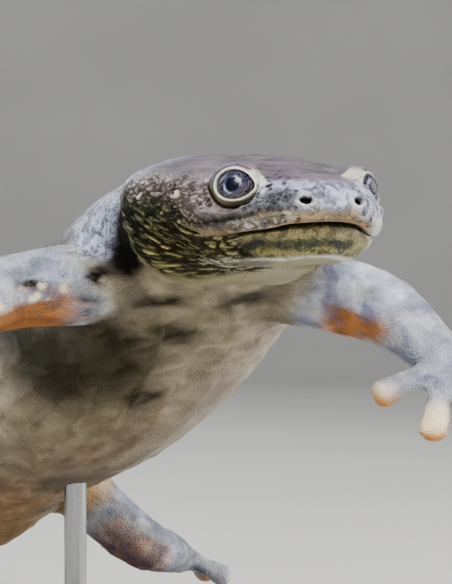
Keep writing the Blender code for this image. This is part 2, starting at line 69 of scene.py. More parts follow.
# The spine, by millimetres back from the head: pitch and yaw of the way forward, in degrees
bodyPlan = {
    "start": -7.0,
    "length": 194,
    "pitch": ((0, -5), (7, 8), (18, 23), (52, 27), (70, 34), (86, 28), (106, 8), (124, 0), (150, -4),
              (194, -8)),
    "yaw": ((0, 0), (4, -14), (13, -14), (28, 5), (52, 12), (74, 10), (92, 0), (114, -14), (140, -8),
            (168, 12), (194, 20)),
    "halfWidth": ((0, 10.3), (5, 10.6), (12, 14.4), (18, 16.6), (27, 18.2), (40, 19.6), (54, 19.0),
                  (66, 16.4), (76, 12.6), (86, 8.8), (98, 6.0), (118, 4.7), (142, 3.6), (164, 2.6),
                  (182, 1.5), (194, 0.6)),
    "above": ((0, 8.2), (7, 8.2), (16, 9.4), (28, 11.2), (44, 12.8), (58, 12.6), (70, 11.2), (82, 9.6),
              (97, 9.2), (118, 9.4), (142, 8.8), (164, 6.8), (182, 3.9), (194, 0.9)),
    "below": ((0, 5.6), (6, 6.6), (15, 10.0), (28, 12.8), (44, 15.0), (58, 14.8), (70, 12.4), (80, 10.6),
              (89, 11.0), (99, 8.2), (118, 7.8), (142, 7.2), (164, 5.6), (182, 3.2), (194, 0.8)),
    "warts": (9, 27.0, 5.3, 14.0),      # count, first, spacing and angle up the flank
    "wartDraw": 7,          # the draw of their places, as in the solids
}

skinPlan = {
    "voxel": 0.4,
    "grow": 0.22,           # closes the gaps between the solids before they are wrapped
    "passes": 26,           # evens the wrapped skin, and the split faces of the head
    "headPasses": 4,
    "bodyShare": 0.14,      # share of the faces behind the head that is kept
    "headBack": -9.0,       # how far back, to each side and down the head's finer mesh reaches
    "headReach": (15.4, -8.5),
    "mouthBand": 0.5,       # how far from the mouth, and how many openings from the eyes, it is finer still
    "eyeBand": 1.95,
    "warpSeed": 7,          # holds the scales' and granules' warp the same in every run
}

eyePlan = {
    "radius": 2.6,
    "turn": 43.0,           # degrees that each eye looks to its side, and up
    "tilt": 10.0,
    "opening": ((2.10, 1.70), (1.88, 1.70)),    # half width and height of the lids' opening, right and left
    "openingAt": ((0.05, 0.27), (0.04, 0.27)),
    "clear": 0.06,          # how far the skin keeps off the eyeballs, and how much more below the brow
    "clearLow": 0.07,
    "corner": 0.10,         # how far the lids' opening is drawn to a point in front
    "gaze": {"eye_left": (27.0, 15.0), "eye_right": (41.0, 14.0)},      # degrees out to its side, and up
    "fold": (3.0, 2.5, 0.3),        # half width and height of the fold below the lower lid, and its middle
}

headDetail = {
    "gularSwell": 0.9,
    "neckCrease": 0.8,
    "collar": 0.4,
    "lore": 0.45,           # the hollow between eye and nostril
    "snoutLip": 0.12,
    "cheekRelief": 0.22,
    "cheekSize": (2.7, 0.64),
    "templeRelief": 0.21,
    "templeSize": (1.25, 0.95, 0.56),
    "lipRoll": 0.16,
    "lipBeads": 0.12,
    "underEye": 0.42,       # the smooth fold under the eye
    "jawRim": 0.30,
    "mouthDepth": 0.50,
    "crownDrop": 0.35,      # how far the crown and the back of the cheeks lie inside the solid's
    "cheekDrop": 0.25,
    "lipHang": 0.45,        # how far the left tip of the lip hangs over the jaw
    "lidRise": 0.30,
    "leftLid": 0.16,        # how much lower the lids and brow of the left eye are
    "leftBrow": 0.36,
    "leftLip": 0.38,
    "lidRoll": 0.13,
    "lidCrease": 0.50,
    "lidGroove": 0.12,
    "nostrilDepth": 0.8,
    "nostrilRim": 0.10,
    "pitDepth": 0.25,
}

# Dark blotches of the belly: middle and size, by millimetres along the spine and shares of its half width
bellyBlotches = (((18.2, -0.2), (2.8, 0.28)), ((21.5, -0.55), (3.4, 0.32)), ((28, -0.46), (3.2, 0.23)),
                 ((35.5, -0.84), (9.0, 0.34)), ((11.5, 0.45), (2.0, 0.34)), ((11.2, -0.35), (1.7, 0.30)),
                 ((34, -0.25), (3.0, 0.2)))

bodyDetail = {
    "granuleSize": 2.1,
    "granuleRelief": 0.16,
    "ribGroove": 0.28,
    "neckFolds": 0.35,
    "foldSpacing": 3.4,
    "limbFolds": 0.16,
    "rootPasses": 40,       # evens the roots of the limbs
}


def curveAt(keys, x):
    # Smooth curve through (x, value) keys
    kx, ky = np.array(keys, float).T
    x = np.clip(np.asarray(x, float), kx[0], kx[-1])
    slope = np.concatenate((
        [(ky[1] - ky[0]) / (kx[1] - kx[0])],
        (ky[2:] - ky[:-2]) / (kx[2:] - kx[:-2]),
        [(ky[-1] - ky[-2]) / (kx[-1] - kx[-2])]))
    i = np.clip(np.searchsorted(kx, x, side="right") - 1, 0, len(kx) - 2)
    span = kx[i + 1] - kx[i]
    t = (x - kx[i]) / span
    rise = (2 * t**3 - 3 * t**2 + 1) * ky[i] + (3 * t**2 - 2 * t**3) * ky[i + 1]
    return rise + span * ((t**3 - 2 * t**2 + t) * slope[i] + (t**3 - t**2) * slope[i + 1])


def ramp(value, low, high):
    # Rises smoothly from 0 at low to 1 at high, which may be the smaller
    t = np.clip((value - low) / (high - low), 0.0, 1.0)
    return t * t * (3 - 2 * t)


def window(value, start, full, fade, end):
    # 1 from full to fade, and softly 0 before start and past end
    return ramp(value, start, full) * ramp(value, end, fade)


def hill(value, centre, width):
    return np.exp(-((value - centre) / width) ** 2)


def axesAt(pitch, yaw):
    p, w = np.radians(pitch), np.radians(yaw)
    forward = np.stack((np.cos(p) * np.sin(w), -np.cos(p) * np.cos(w), np.sin(p)), -1)
    left = np.stack((np.cos(w), np.sin(w), np.zeros_like(w)), -1)
    return forward, left, np.cross(left, -forward)


headAxes = np.array(axesAt(np.array(headPlan["pitch"]), np.array(0.0)))
headAt = np.array(headPlan["at"])


def inHead(points):
    return (points - headAt) @ headAxes.T


def fromHead(points):
    return np.asarray(points, float) @ headAxes + headAt


def traceSpine():
    s = np.arange(0, bodyPlan["length"] + 1.0, 1.0)
    forward, left, up = axesAt(curveAt(bodyPlan["pitch"], s), curveAt(bodyPlan["yaw"], s))
    start = fromHead((bodyPlan["start"], 0, 0))
    back = np.vstack((np.zeros((1, 3)), np.cumsum(forward[:-1], axis=0)))
    return s, start - back, forward, left, up


spine = traceSpine()
fleshNodes = [n for n in sorted(nodes) if not n.startswith(("stand_", "eye_"))]
limbNodes = [n for n in fleshNodes if n.endswith(("_left", "_right"))]
trunkNodes = [n for n in fleshNodes if n not in limbNodes]


def eyeFrame():
    # Centre of the right eye in the head's frame; ways level towards the snout, up its face, and out
    low, high = (np.array(c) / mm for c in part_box("eye_right"))
    centre = inHead((low + high) / 2)
    turn, tilt = math.radians(eyePlan["turn"]), math.radians(eyePlan["tilt"])
    out = np.array((math.cos(turn) * math.cos(tilt), -math.sin(turn) * math.cos(tilt), math.sin(tilt)))
    level = np.cross((0, 0, 1), out)
    level /= np.linalg.norm(level)
    return centre, level, np.cross(out, level), out


eyeCentre, eyeLevel, eyeUp, eyeOut = eyeFrame()


def atEye(h):
    # Place of head points from the nearer eye: towards the snout, up and out, in openings from its middle,
    # past the edge of its opening, and in folds from the middle of the fold below it
    d = np.stack((h[:, 0], -np.abs(h[:, 1]), h[:, 2]), 1) - eyeCentre
    a, b, out = d @ eyeLevel, d @ eyeUp, d @ eyeOut
    side = (h[:, 1] > 0).astype(int)
    place = np.stack((a, b), 1) - np.array(eyePlan["openingAt"])[side]
    u, v = (place / np.array(eyePlan["opening"])[side]).T
    reach = np.hypot(u, v) - eyePlan["corner"] * hill(v, 0, 0.5) * ramp(u, 0.3, 1.2)
    foldWide, foldHigh, foldUp = eyePlan["fold"]
    lid = (1 - 1 / np.maximum(reach, 0.2)) * np.hypot(*place.T)
    return a, b, out, reach, lid, np.hypot(a / foldWide, (b - foldUp) / foldHigh)


def spot(x, y, middle, size):
    # Soft round patch: 1 in its middle, 0 outside
    return ramp(np.hypot((x - middle[0]) / size[0], (y - middle[1]) / size[1]), 1.25, 0.4)


def headPlaces(points):
    h = inHead(points)
    x, y, z = h.T
    side = np.abs(y)
    a, b, out, reach, lid, fold = atEye(h)
    width = curveAt(headPlan["halfWidth"], x)
    mouth = curveAt(headPlan["mouth"], x)
    right = np.stack((x, -side, z), 1)
    fromNostril = (right - np.array(headPlan["nostril"])) / (1.4, 0.62, 0.40)
    return {
        "h": h, "x": x, "y": y, "z": z, "side": side, "width": width, "drop": z - mouth,
        "below": (mouth - z) + 0.8 * (width - side) + 0.5 * np.maximum(8 - x, 0),
        "row": 0.9 * x - 0.45 * side,
        "a": a, "b": b, "out": out, "reach": reach, "lid": lid, "fold": fold, "fromAxis": np.hypot(a, b),
        "rim": z - curveAt(headPlan["jawRim"], x),
        "nostril": np.linalg.norm(fromNostril, axis=1),
        "pit": np.linalg.norm((right - np.array(headPlan["pit"])) * (1.0, 0.3, 1.0), axis=1),
        "head": ramp(x, -9, -6) * (side < 15.6) * (z > -9.5),
    }


def fuseFlesh():
    # Grows each solid over its gaps, and wraps them all in one closed mesh
    whole = bmesh.new()
    for name in fleshNodes + ["eye_left", "eye_right"]:
        part = bmesh.new()
        part.from_mesh(nodes[name].data)
        bmesh.ops.remove_doubles(part, verts=part.verts, dist=1e-6)
        part.normal_update()
        moves = [(v, v.normal * skinPlan["grow"] * mm) for v in part.verts]
        for v, move in moves:
            v.co += move
        mesh = bpy.data.meshes.new("grown")
        part.to_mesh(mesh)
        part.free()
        whole.from_mesh(mesh)
        bpy.data.meshes.remove(mesh)
    mesh = bpy.data.meshes.new("skin")
    whole.to_mesh(mesh)
    whole.free()
    flesh = bpy.data.objects.new("skin", mesh)
    bpy.context.scene.collection.objects.link(flesh)
    wrap = flesh.modifiers.new("wrap", "REMESH")
    wrap.mode = "VOXEL"
    wrap.voxel_size = skinPlan["voxel"] * mm
    applyModifiers(flesh)
    print("fused flesh", len(flesh.data.vertices), "points")
    return flesh


def applyModifiers(obj):
    graph = bpy.context.evaluated_depsgraph_get()
    mesh = bpy.data.meshes.new_from_object(obj.evaluated_get(graph))
    old = obj.data
    obj.modifiers.clear()
    obj.data = mesh
    bpy.data.meshes.remove(old)


def readPoints(mesh):
    co = np.empty(len(mesh.vertices) * 3, np.float32)
    mesh.vertices.foreach_get("co", co)
    return co.reshape(-1, 3).astype(float) / mm


def writePoints(mesh, points):
    mesh.vertices.foreach_set("co", (points * mm).astype(np.float32).ravel())
    mesh.update()


def readNormals(mesh):
    normals = np.empty(len(mesh.vertices) * 3, np.float32)
    mesh.vertex_normals.foreach_get("vector", normals)
    return normals.reshape(-1, 3).astype(float)


def readEdges(mesh):
    pairs = np.empty(len(mesh.edges) * 2, np.int32)
    mesh.edges.foreach_get("vertices", pairs)
    return pairs.reshape(-1, 2)


def averageOver(edges, values):
    # Mean of each vertex's neighbours, for one value or several to a vertex
    count = len(values)
    a, b = edges.T
    degree = np.bincount(a, minlength=count) + np.bincount(b, minlength=count)
    columns = values.reshape(count, -1)
    total = np.stack([np.bincount(a, columns[b, c], count) + np.bincount(b, columns[a, c], count)
                      for c in range(columns.shape[1])], 1)
    return (total / np.maximum(degree, 1)[:, None]).reshape(values.shape)


def smoothPoints(points, edges, passes, weight=1.0):
    # Evens a surface without shrinking it
    for _ in range(passes):
        for step in (0.55, -0.575):
            points = points + (averageOver(edges, points) - points) * step * weight
    return points


def onHead(points, back):
    x, y, z = inHead(points).T
    wide, low = skinPlan["headReach"]
    return (x > back) & (np.abs(y) < wide) & (z > low)


def needsDetail(points):
    # The face and cheeks, but not the smooth crown and the middle of the throat
    f = headPlaces(points)
    crown = (f["z"] > 7.0) & (f["fromAxis"] > 3.4)
    middle = (f["z"] < -2.6) & (f["side"] < 4.6)
    return onHead(points, -7.6) & ~crown & ~middle


def byEyeOrMouth(points):
    f = headPlaces(points)
    eye = (f["reach"] < skinPlan["eyeBand"]) & (f["out"] > 0.2) & (f["fromAxis"] < 4.4)
    mouth = (np.abs(f["drop"]) < skinPlan["mouthBand"]) & (f["x"] > 7.6)
    return eye | (mouth & ((f["width"] - f["side"] < 3.0) | (f["x"] > 21)))


def thinBody(obj):
    # Fewer faces behind the head, where the mesh need be no finer
    points = readPoints(obj.data)
    behind = obj.vertex_groups.new(name="behind")
    far = np.nonzero(~onHead(points, skinPlan["headBack"]))[0]
    behind.add([int(i) for i in far], 1.0, "REPLACE")
    thin = obj.modifiers.new("thin", "DECIMATE")
    thin.ratio = skinPlan["bodyShare"] + (1 - skinPlan["bodyShare"]) * (1 - len(far) / len(points))
    thin.vertex_group = "behind"
    thin.vertex_group_factor = 1.0
    applyModifiers(obj)
    obj.vertex_groups.clear()
    print("thinned to", len(obj.data.polygons), "faces")


def splitFaces(obj, choose):
    # Splits the edges of the faces whose middles are chosen
    bm = bmesh.new()
    bm.from_mesh(obj.data)
    middles = np.array([f.calc_center_median() for f in bm.faces]) / mm
    bm.faces.ensure_lookup_table()
    edges = {e for i in np.nonzero(choose(middles))[0] for e in bm.faces[int(i)].edges}
    bmesh.ops.subdivide_edges(bm, edges=list(edges), cuts=1, use_grid_fill=True)
    bmesh.ops.triangulate(bm, faces=[f for f in bm.faces if len(f.verts) > 4])
    bm.to_mesh(obj.data)
    bm.free()
    print("split to", sum(len(p.vertices) - 2 for p in obj.data.polygons), "triangles")


def cells(points, warp=0.0, seed=0.0):
    # Height of rounded cells, 0 in the grooves between them and 1 on top, and a random value for each cell
    height, tone = np.empty(len(points)), np.empty(len(points))
    for i, p in enumerate(points):
        q = Vector(p) + Vector((seed, seed * 1.7, -seed))
        if warp:
            q += noise.noise_vector(q * 0.9) * warp
        near, where = noise.voronoi(q)
        height[i] = near[1] - near[0]
        tone[i] = noise.cell(where[0] * 7.31)
    return ramp(height, 0.0, 0.5), tone


def cellsWhere(share, points, warp=0.0, seed=0.0):
    top, tone = np.zeros(len(share)), np.full(len(share), 0.5)
    on = share > 0.01
    top[on], tone[on] = cells(points[on], warp, seed)
    return top, tone


def clouds(points, size, seed=0.0, octaves=2):
    # Soft noise from about -1 to 1
    shift = Vector((seed, -seed, seed * 0.6))
    return np.array([noise.fractal(Vector(p) + shift, 1.0, 2.1, octaves) for p in points / size])


def onSpine(points):
    # Place along the spine, and left of and above it as shares of the body there
    s, at, forward, left, up = spine
    nearest = np.empty(len(points), int)
    for start in range(0, len(points), 20000):
        block = points[start:start + 20000]
        nearest[start:start + 20000] = ((block[:, None, :] - at[None]) ** 2).sum(2).argmin(1)
    d = points - at[nearest]
    along = s[nearest] - (d * forward[nearest]).sum(1)
    across = (d * left[nearest]).sum(1) / curveAt(bodyPlan["halfWidth"], along)
    height = (d * up[nearest]).sum(1)
    tall = np.where(height > 0, curveAt(bodyPlan["above"], along), curveAt(bodyPlan["below"], along))
    return along, across, height / tall


def surfaceOf(names):
    # Search tree over the faces of some nodes, in millimetres
    points, faces = [], []
    for name in names:
        mesh = nodes[name].data
        base = len(points)
        points += [v.co / mm for v in mesh.vertices]
        faces += [[base + i for i in p.vertices] for p in mesh.polygons]
    return BVHTree.FromPolygons(points, faces)


def distancesTo(tree, points, reach=9.0):
    out = np.full(len(points), reach)
    for i, p in enumerate(points):
        found = tree.find_nearest(p, reach)
        if found[3] is not None:
            out[i] = found[3]
    return out


def limbPlaces(points):
    # How far each point belongs to a limb, to its root, to its far part and to a hand or foot, and how far
    # out along its digits it lies
    toTrunk = distancesTo(surfaceOf(trunkNodes), points)
    toLimb = distancesTo(surfaceOf(limbNodes), points)
    limb = ramp(toTrunk - toLimb, 0.8, 5.2)
    root = ramp(np.maximum(toTrunk, toLimb), 3.2, 1.0)
    hand, tip = np.zeros(len(points)), np.zeros(len(points))
    for name in [n for n in limbNodes if n.startswith(("hand", "foot"))]:
        upper = name.replace("hand", "forearm").replace("foot", "shin")
        own = np.array([v.co for v in nodes[name].data.vertices]) / mm
        elbow = sum(np.array(c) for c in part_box(upper)) / 2 / mm
        wrist = own[np.argsort(np.linalg.norm(own - elbow, axis=1))[:24]].mean(0)
        share = np.linalg.norm(points - wrist, axis=1) / np.linalg.norm(own - wrist, axis=1).max()
        near = share < 1.15
        near[near] = distancesTo(surfaceOf([name]), points[near], 1.5) < 0.9
        hand[near] = ramp(share, 0.0, 0.25)[near]
        tip[near] = ramp(share, 0.56, 0.80)[near]
    return {"limb": limb, "root": root, "far": ramp(toTrunk, 5.0, 8.2), "hand": hand, "tip": tip}


def underEye(f):
    # The smooth fold between eye and lip
    return f["head"] * hill(f["drop"], 2.45, 0.50) * window(f["x"], 12.5, 15.5, 21.0, 23.0)


def belowFold(f):
    return hill(f["drop"], 1.55, 0.25) * window(f["x"], 13, 16, 19.5, 21.5)


def shapeFolds(f):
    # Throat pouch, its rear rim, and the crease behind the cheeks
    d = headDetail
    x, z, side = f["x"], f["z"], f["side"]
    low = ramp(-z, 0.5, 4.0)
    lift = d["gularSwell"] * hill(x, 0.5, 4.5) * low * ramp(side, 1.0, 6.0) * f["head"]
    lift += d["collar"] * hill(x, -3.4, 1.0) * low * f["head"]
    behind = ramp(z, 6.5, 3.5) * (side < 15.6) * (z > -12)
    lift -= d["lore"] * hill(x, 22.0, 1.6) * hill(z, 4.4, 1.3) * ramp(side, 3.6, 5.5)
    lift += d["snoutLip"] * hill(x, 21.5, 2.2) * hill(f["drop"], 0.7, 0.5) * ramp(side, 4.0, 6.0)
    lift += d["underEye"] * (underEye(f) - 0.5 * belowFold(f))
    lift += d["jawRim"] * hill(f["rim"], 0, 0.5) * ramp(x, 8, 12) * ramp(side, 1.0, 4.0)
    lift -= d["crownDrop"] * ramp(z, 5.5, 8.0) * ramp(f["fromAxis"], 3.0, 4.6) * ramp(x, 25, 21) * f["head"]
    brow = spot(f["a"], f["b"], (2.2, 2.9), (3.0, 1.8)) * (f["y"] > 0) * (f["out"] > -1.0)
    lift -= d["leftBrow"] * brow * f["head"]
    lift -= d["leftLip"] * hill(f["drop"], 1.7, 0.9) * hill(x, 20.5, 2.4) * ramp(f["y"], 5.5, 7.5) * f["head"]
    lift -= d["cheekDrop"] * hill(x, -1, 4) * hill(z, 3, 3) * ramp(side, 9, 12) * f["head"]
    return lift - d["neckCrease"] * hill(x, -6.0, 0.9) * behind


def lidHeight(f):
    # How far each point near an eye moves out, for the skin to hug the eye, open over it and fold below it
    d = headDetail
    reach, out, b = f["reach"], f["out"], f["b"]
    near = (reach < 2.4) & (out > 0) & (f["head"] > 0.5)
    axis = f["fromAxis"]
    rise = d["lidRise"] - d["leftLid"] * (f["y"] > 0)
    ball = np.sqrt(np.maximum((eyePlan["radius"] + rise) ** 2 - axis ** 2, 0.3))
    inside = np.sqrt(np.maximum((eyePlan["radius"] - 0.7) ** 2 - axis ** 2, 0.0))
    under = ramp(-b, -0.3, 0.9)
    free = ramp(axis, 2.35, 3.1)
    lid = ball * (1 - free) + out * free
    lid += d["lidRoll"] * hill(reach, 1.08, 0.09)
    lid -= d["lidGroove"] * hill(reach, 1.30, 0.06) * (1 - under)
    lid -= d["lidCrease"] * hill(f["fold"], 1.0, 0.07) * (0.1 + 0.9 * under)
    goal = inside + (lid - inside) * ramp(reach, 0.90, 0.99)
    return np.where(near, (goal - out) * ramp(reach, 2.4, 1.9), 0.0)


def keepOffEyes(points, f):
    # Lifts brows and lids that lie too deep just clear of the eyeballs
    clear = eyePlan["radius"] + eyePlan["clear"] + eyePlan["clearLow"] * ramp(f["b"], 1.6, 0.8)
    for side in (1, -1):
        centre = fromHead(eyeCentre * (1, -side, 1))
        away = points - centre
        far = np.linalg.norm(away, axis=1)
        deep = (f["reach"] > 1.0) & (f["y"] * side > 0) & (far < clear) & (far > 1.0)
        points[deep] = centre + away[deep] * (clear / far)[deep, None]
    return points


def partedAt(x):
    # How far the lips are parted: at the corner and in front, but closed below the eye
    return np.clip(ramp(x, 12.8, 11.4) + ramp(x, 17.0, 18.6), 0.22, 1.0)


def lipHang(f):
    # How far each point of the left tip of the upper lip is drawn down over the jaw
    tip = hill(f["drop"], 0.45, 0.75) * hill(f["x"], 20.8, 3.0) * ramp(f["y"], 1.8, 6.0)
    return headDetail["lipHang"] * tip * f["head"]


def shapeMouth(f):
    # A dark slit between a rolled upper lip and a thin lower one
    d = headDetail
    on = ramp(f["x"], headPlan["mouthEnd"] - 0.5, headPlan["mouthEnd"] + 0.8) * f["head"]
    on = on * np.clip(ramp(f["width"] - f["side"], 5.0, 2.5) + ramp(f["x"], 21, 23), 0, 1)
    drop = f["drop"]
    lift = -d["mouthDepth"] * hill(drop, 0, 0.15) * partedAt(f["x"])
    lift += d["lipRoll"] * hill(drop, 0.48, 0.28)
    lift += 0.6 * d["lipRoll"] * hill(drop, -0.5, 0.3)
    return lift * on, on


def shapeNostrils(f):
    d = headDetail
    lift = d["nostrilRim"] * hill(f["nostril"], 1.6, 0.4) - d["nostrilDepth"] * ramp(f["nostril"], 1.2, 0.5)
    return (lift - d["pitDepth"] * ramp(f["pit"], 0.35, 0.1)) * f["head"]


def shapeScales(f):
    # Rows of long scales on the cheek and jaw, granules on the temple, and beads along the upper lip
    d = headDetail
    x, z, side, below, drop, head = f["x"], f["z"], f["side"], f["below"], f["drop"], f["head"]
    isLeft, isRight = f["y"] > 0, f["y"] < 0
    apart = 31.0 * isLeft       # sets the left side's pattern off from the right's
    eyeFree = ramp(f["fold"], 1.0, 1.12)
    cheek = window(below, 0.3, 1.1, 13.5, 17.0) * window(x, -6.5, -4.0, 17.5, 22.0) * head
    cheek = cheek * ramp(z, 3.2, 1.8) * (1 - ramp(f["rim"], 0.3, -0.5) * ramp(x + 9 * isLeft, 10, 14))
    temple = window(x, -3.5, -0.5, 15.0, 17.0) * ramp(z, 0.6, 1.4) * head * eyeFree
    temple = temple * ramp(z + 0.35 * np.sin(1.3 * x) + 0.25 * np.sin(2.9 * x), 7.5, 5.3)
    temple = temple * ramp(side, 6.5, 8.0)
    byCorner = window(x, 6, 8, 13, 15) * ramp(drop, 0.5, 0.9) * ramp(z, 3.4, 2.6) * head
    temple = np.maximum(temple, byCorner) * (1 - underEye(f))
    lore = ramp(x, 19.5, 21.0) * window(z, 2.6, 3.4, 5.6, 6.4) * ramp(side, 3.2, 4.4) * head * eyeFree
    temple = np.maximum(temple, 0.7 * lore * ramp(f["nostril"], 1.6, 2.4) * isRight)
    beads = window(drop, 0.25, 0.45, 1.1, 1.5) * ramp(x, 16.5, 19) * ramp(side, 4.0, 5.4)
    beads = beads * head * eyeFree * isRight
    rows = np.stack((f["row"] / d["cheekSize"][0] + apart, below / d["cheekSize"][1], 0 * x), 1)
    cheekTop, cheekTone = cellsWhere(cheek, rows, warp=0.45, seed=3.0)
    granules = f["h"] / d["templeSize"] + apart[:, None]
    fineTop, fineTone = cellsWhere(temple + beads, granules, warp=1.0, seed=11.0)
    lift = d["cheekRelief"] * cheek * (cheekTop - 0.6)
    lift += (d["templeRelief"] * temple + d["lipBeads"] * beads) * (fineTop - 0.6)
    fine = np.maximum(temple, beads) * (1 - cheek)
    top = 1 - cheek * (1 - cheekTop) - fine * (1 - fineTop)
    tone = cheekTone * cheek + fineTone * (1 - cheek)
    crest = cheek * ramp(cheekTop, 0.55, 1.0) + fine * ramp(fineTop, 0.55, 1.0)
    return lift, {"cheek": cheek, "temple": temple, "beads": beads, "top": np.clip(top, 0, 1), "tone": tone,
                  "crest": np.clip(crest, 0, 1)}


def shapeBody(points, f, place, limbs):
    # Granules all over, grooves between the ribs, and folds round the neck, chest and limbs
    d = bodyDetail
    along, across, height = place
    limb, hand = limbs["limb"], limbs["hand"]
    body = 1 - ramp(f["x"], -9.0, -6.0) * (1 - limb)
    granular = body * (1 - 0.7 * hand)
    top, tone = cellsWhere(granular, points / d["granuleSize"], warp=0.7, seed=5.0)
    coarse = window(along, 20, 40, 90, 110) * (1 - limb) + 0.6 * limb
    lift = d["granuleRelief"] * (0.45 + 0.55 * coarse) * (top - 0.6) * granular
    flank = window(along, 22, 28, 76, 84) * ramp(np.abs(across), 0.35, 0.7) * (1 - limb)
    first, spacing = bodyPlan["warts"][1:3]
    phase = np.cos((along - first - spacing / 2 + 2.0 * height) * 2 * np.pi / spacing)
    lift -= d["ribGroove"] * flank * ramp(phase, 0.2, 1.0) * ramp(height, 1.0, 0.4)
    lean = along + 3.0 * across + 2.2 * clouds(points, 9.0, seed=4.0)
    folds = np.sin(lean * 2 * np.pi / d["foldSpacing"]) * ramp(clouds(points, 7.0, seed=9.0), -0.25, 0.5)
    folds = folds * (1 - limb) * window(along, -1, 3, 20, 34) * ramp(height, 0.5, -0.1)
    lift += d["neckFolds"] * folds
    lift += d["limbFolds"] * clouds(points * (1.0, 1.0, 1.6), 2.6, seed=21.0) * limb
    return lift, {"top": np.where(body > 0.5, top, 1.0), "tone": tone, "body": body}


def wartTips(points):
    # 1 at the tip of each rib wart, drawn as in the solids
    count, first, spacing, angle = bodyPlan["warts"]
    draw = random.Random(bodyPlan["wartDraw"])
    _, at, _, left, up = spine
    tip = np.zeros(len(points))
    for side in (1, -1):
        for i in range(count):
            where = first + i * spacing + draw.uniform(-0.5, 0.5)
            turn = math.radians(angle + draw.uniform(-4, 4))
            draw.uniform(0.85, 1.15)        # the solids take each wart's size from this one
            k = int(round(where))
            wide = curveAt(bodyPlan["halfWidth"], where) * math.cos(turn)
            tall = curveAt(bodyPlan["above"], where) * math.sin(turn)
            centre = at[k] + (at[k + 1] - at[k]) * (where - k) + left[k] * side * wide + up[k] * tall
            tip = np.maximum(tip, ramp(np.linalg.norm(points - centre, axis=1), 2.6, 0.9))
    return tip


# Patches of colour: middle and half sizes. On the head they lie by millimetres forward and up, behind it by
# millimetres along the spine and by shares of the body's half width and depth
patchPlan = {
    "brow": ((2.0, 2.2), (2.6, 1.15)),          # from the eye, towards the snout and up
    "jawEdge": ((7.4, -1.1), (0.9, 1.4)),       # left of the middle, and above the mouth
    "lore": ((23.2, 4.0), (2.4, 1.5)),
    # cheekFront: painted shade in the hollow behind the mouth's corner, with the cheek's own dark
    "cheekFront": ((6.4, 2.6), (4.2, 2.0)),
    "cheekBack": ((0.5, 1.2), (5.0, 3.4)),
    "midLip": ((-0.6, 3.4), (1.2, 0.7)),        # left of the middle, and up
    "leftArm": ((19.9, -7.9), (1.4, 1.3)),
    "byArm": ((8.5, 1.0), (8.5, 0.36)),         # along and across
    "darkFlank": ((26, -0.68), (15, 0.5)),
    "paleChest": ((14.4, -0.15), (1.6, 0.6)),
    # armGlint is a painted highlight on the right arm
    "armGlint": ((-1.36, -0.66), (0.09, 0.07)),     # across and above, as are those that follow
    "armPatch": ((-2.0, -1.18), (0.25, 0.13)),
    "armFoot": ((-1.12, -1.27), (0.36, 0.14)),
    "armTan": ((-1.2, -1.05), (0.26, 0.12)),
    # painted shade in the hollow before the right arm
    "hollow": ((-1.15, -0.86), (0.16, 0.22)),
}

eyeMarks = {
    "streakFrom": (1.9, 1.5),       # the pale streak in front of the eye, and how far it runs
    "streakRun": (1.5, -0.9),
    "dot": (-3.15, 1.45),
    "rimWide": 0.20,
}


def patchAt(name, x, y):
    return spot(x, y, *patchPlan[name])


def paintPlaces(points, normals, f, place, limbs, mouthOn):
    # All that the colours are placed by: head, limbs, spine, soft noise and a few parts that overlap
    p = SimpleNamespace(**f, **limbs, mouthOn=mouthOn, upward=normals[:, 2])
    p.along, p.across, p.height = place
    p.left = f["y"] > 0
    p.behind = 1 - p.head
    p.trunk = (1 - p.limb) * p.behind
    p.soft = clouds(points, 5.0, seed=2.0)
    p.fine = clouds(points, 1.4, seed=6.0)
    p.warts = wartTips(points)
    p.bellyCloud = clouds(points, 9.0, seed=14.0)
    p.nearEye = p.head * (p.out > 0)
    p.underEye = underEye(f)
    p.belowFold = belowFold(f)
    p.byArm = p.behind * patchAt("byArm", p.along, np.abs(p.across)) * ramp(p.height, -0.8, -0.4)
    p.lipSide = p.head * p.left * ramp(p.x, 19, 22) * ramp(p.side, 2.6, 4.4) * ramp(p.drop, 0.3, 0.9)
    return p


def underOf(p):
    # Chest and belly
    return p.trunk * ramp(p.height + 0.25 * p.soft, 0.05, -0.35) * (1 - p.byArm)


def armBeadsOf(p):
    # The band of cream beads along the right arm
    band = hill(p.upward + 0.1 * p.soft, -0.06, 0.2)
    return p.limb * (1 - p.hand) * p.far * band * (p.across < 0)


def oliveOf(p):
    # Jaw, cheek, lower lid, and the lip's rear part
    jaw = ramp(p.below + 0.25 * p.fine, 0.1, 0.6) * ramp(p.drop, 0.15, -0.15)
    cheek = ramp(p.x, 12, 6) * ramp(p.z + 0.7 * p.soft, 4.0, 2.4)
    lid = p.nearEye * ramp(p.lid, 0.18, 0.36) * ramp(p.fold, 1.04, 0.96) * ramp(p.b, 0.6, -0.3)
    lip = ramp(p.x, 15.0, 12.5) * ramp(p.drop + 0.4 * p.fine, 1.9, 1.1) * ramp(p.drop, -0.1, 0.2)
    return p.head * np.maximum.reduce([jaw, cheek, 0.9 * lid, 0.8 * lip])


def throatOf(p):
    # The pale throat, and the chin below the jaw's rim
    chinFrom = 5.6 + 0.55 * np.maximum(20 - p.x, 0)
    chin = ramp(p.below + 0.3 * p.soft, chinFrom, chinFrom + 1.4) * ramp(p.rim, 0.5, -0.2)
    return p.head * np.maximum(chin, ramp(p.below + 0.8 * p.soft, 8.5, 12.5) * ramp(p.z, -2.4, -3.8))


def lidRimOf(p):
    # The cream ring round each eye, narrower below
    wide = eyeMarks["rimWide"] - 0.05 * ramp(-p.b, 0.0, 1.0)
    return p.nearEye * ramp(p.reach, 0.93, 1.0) * ramp(p.lid, wide + 0.09, wide - 0.03)


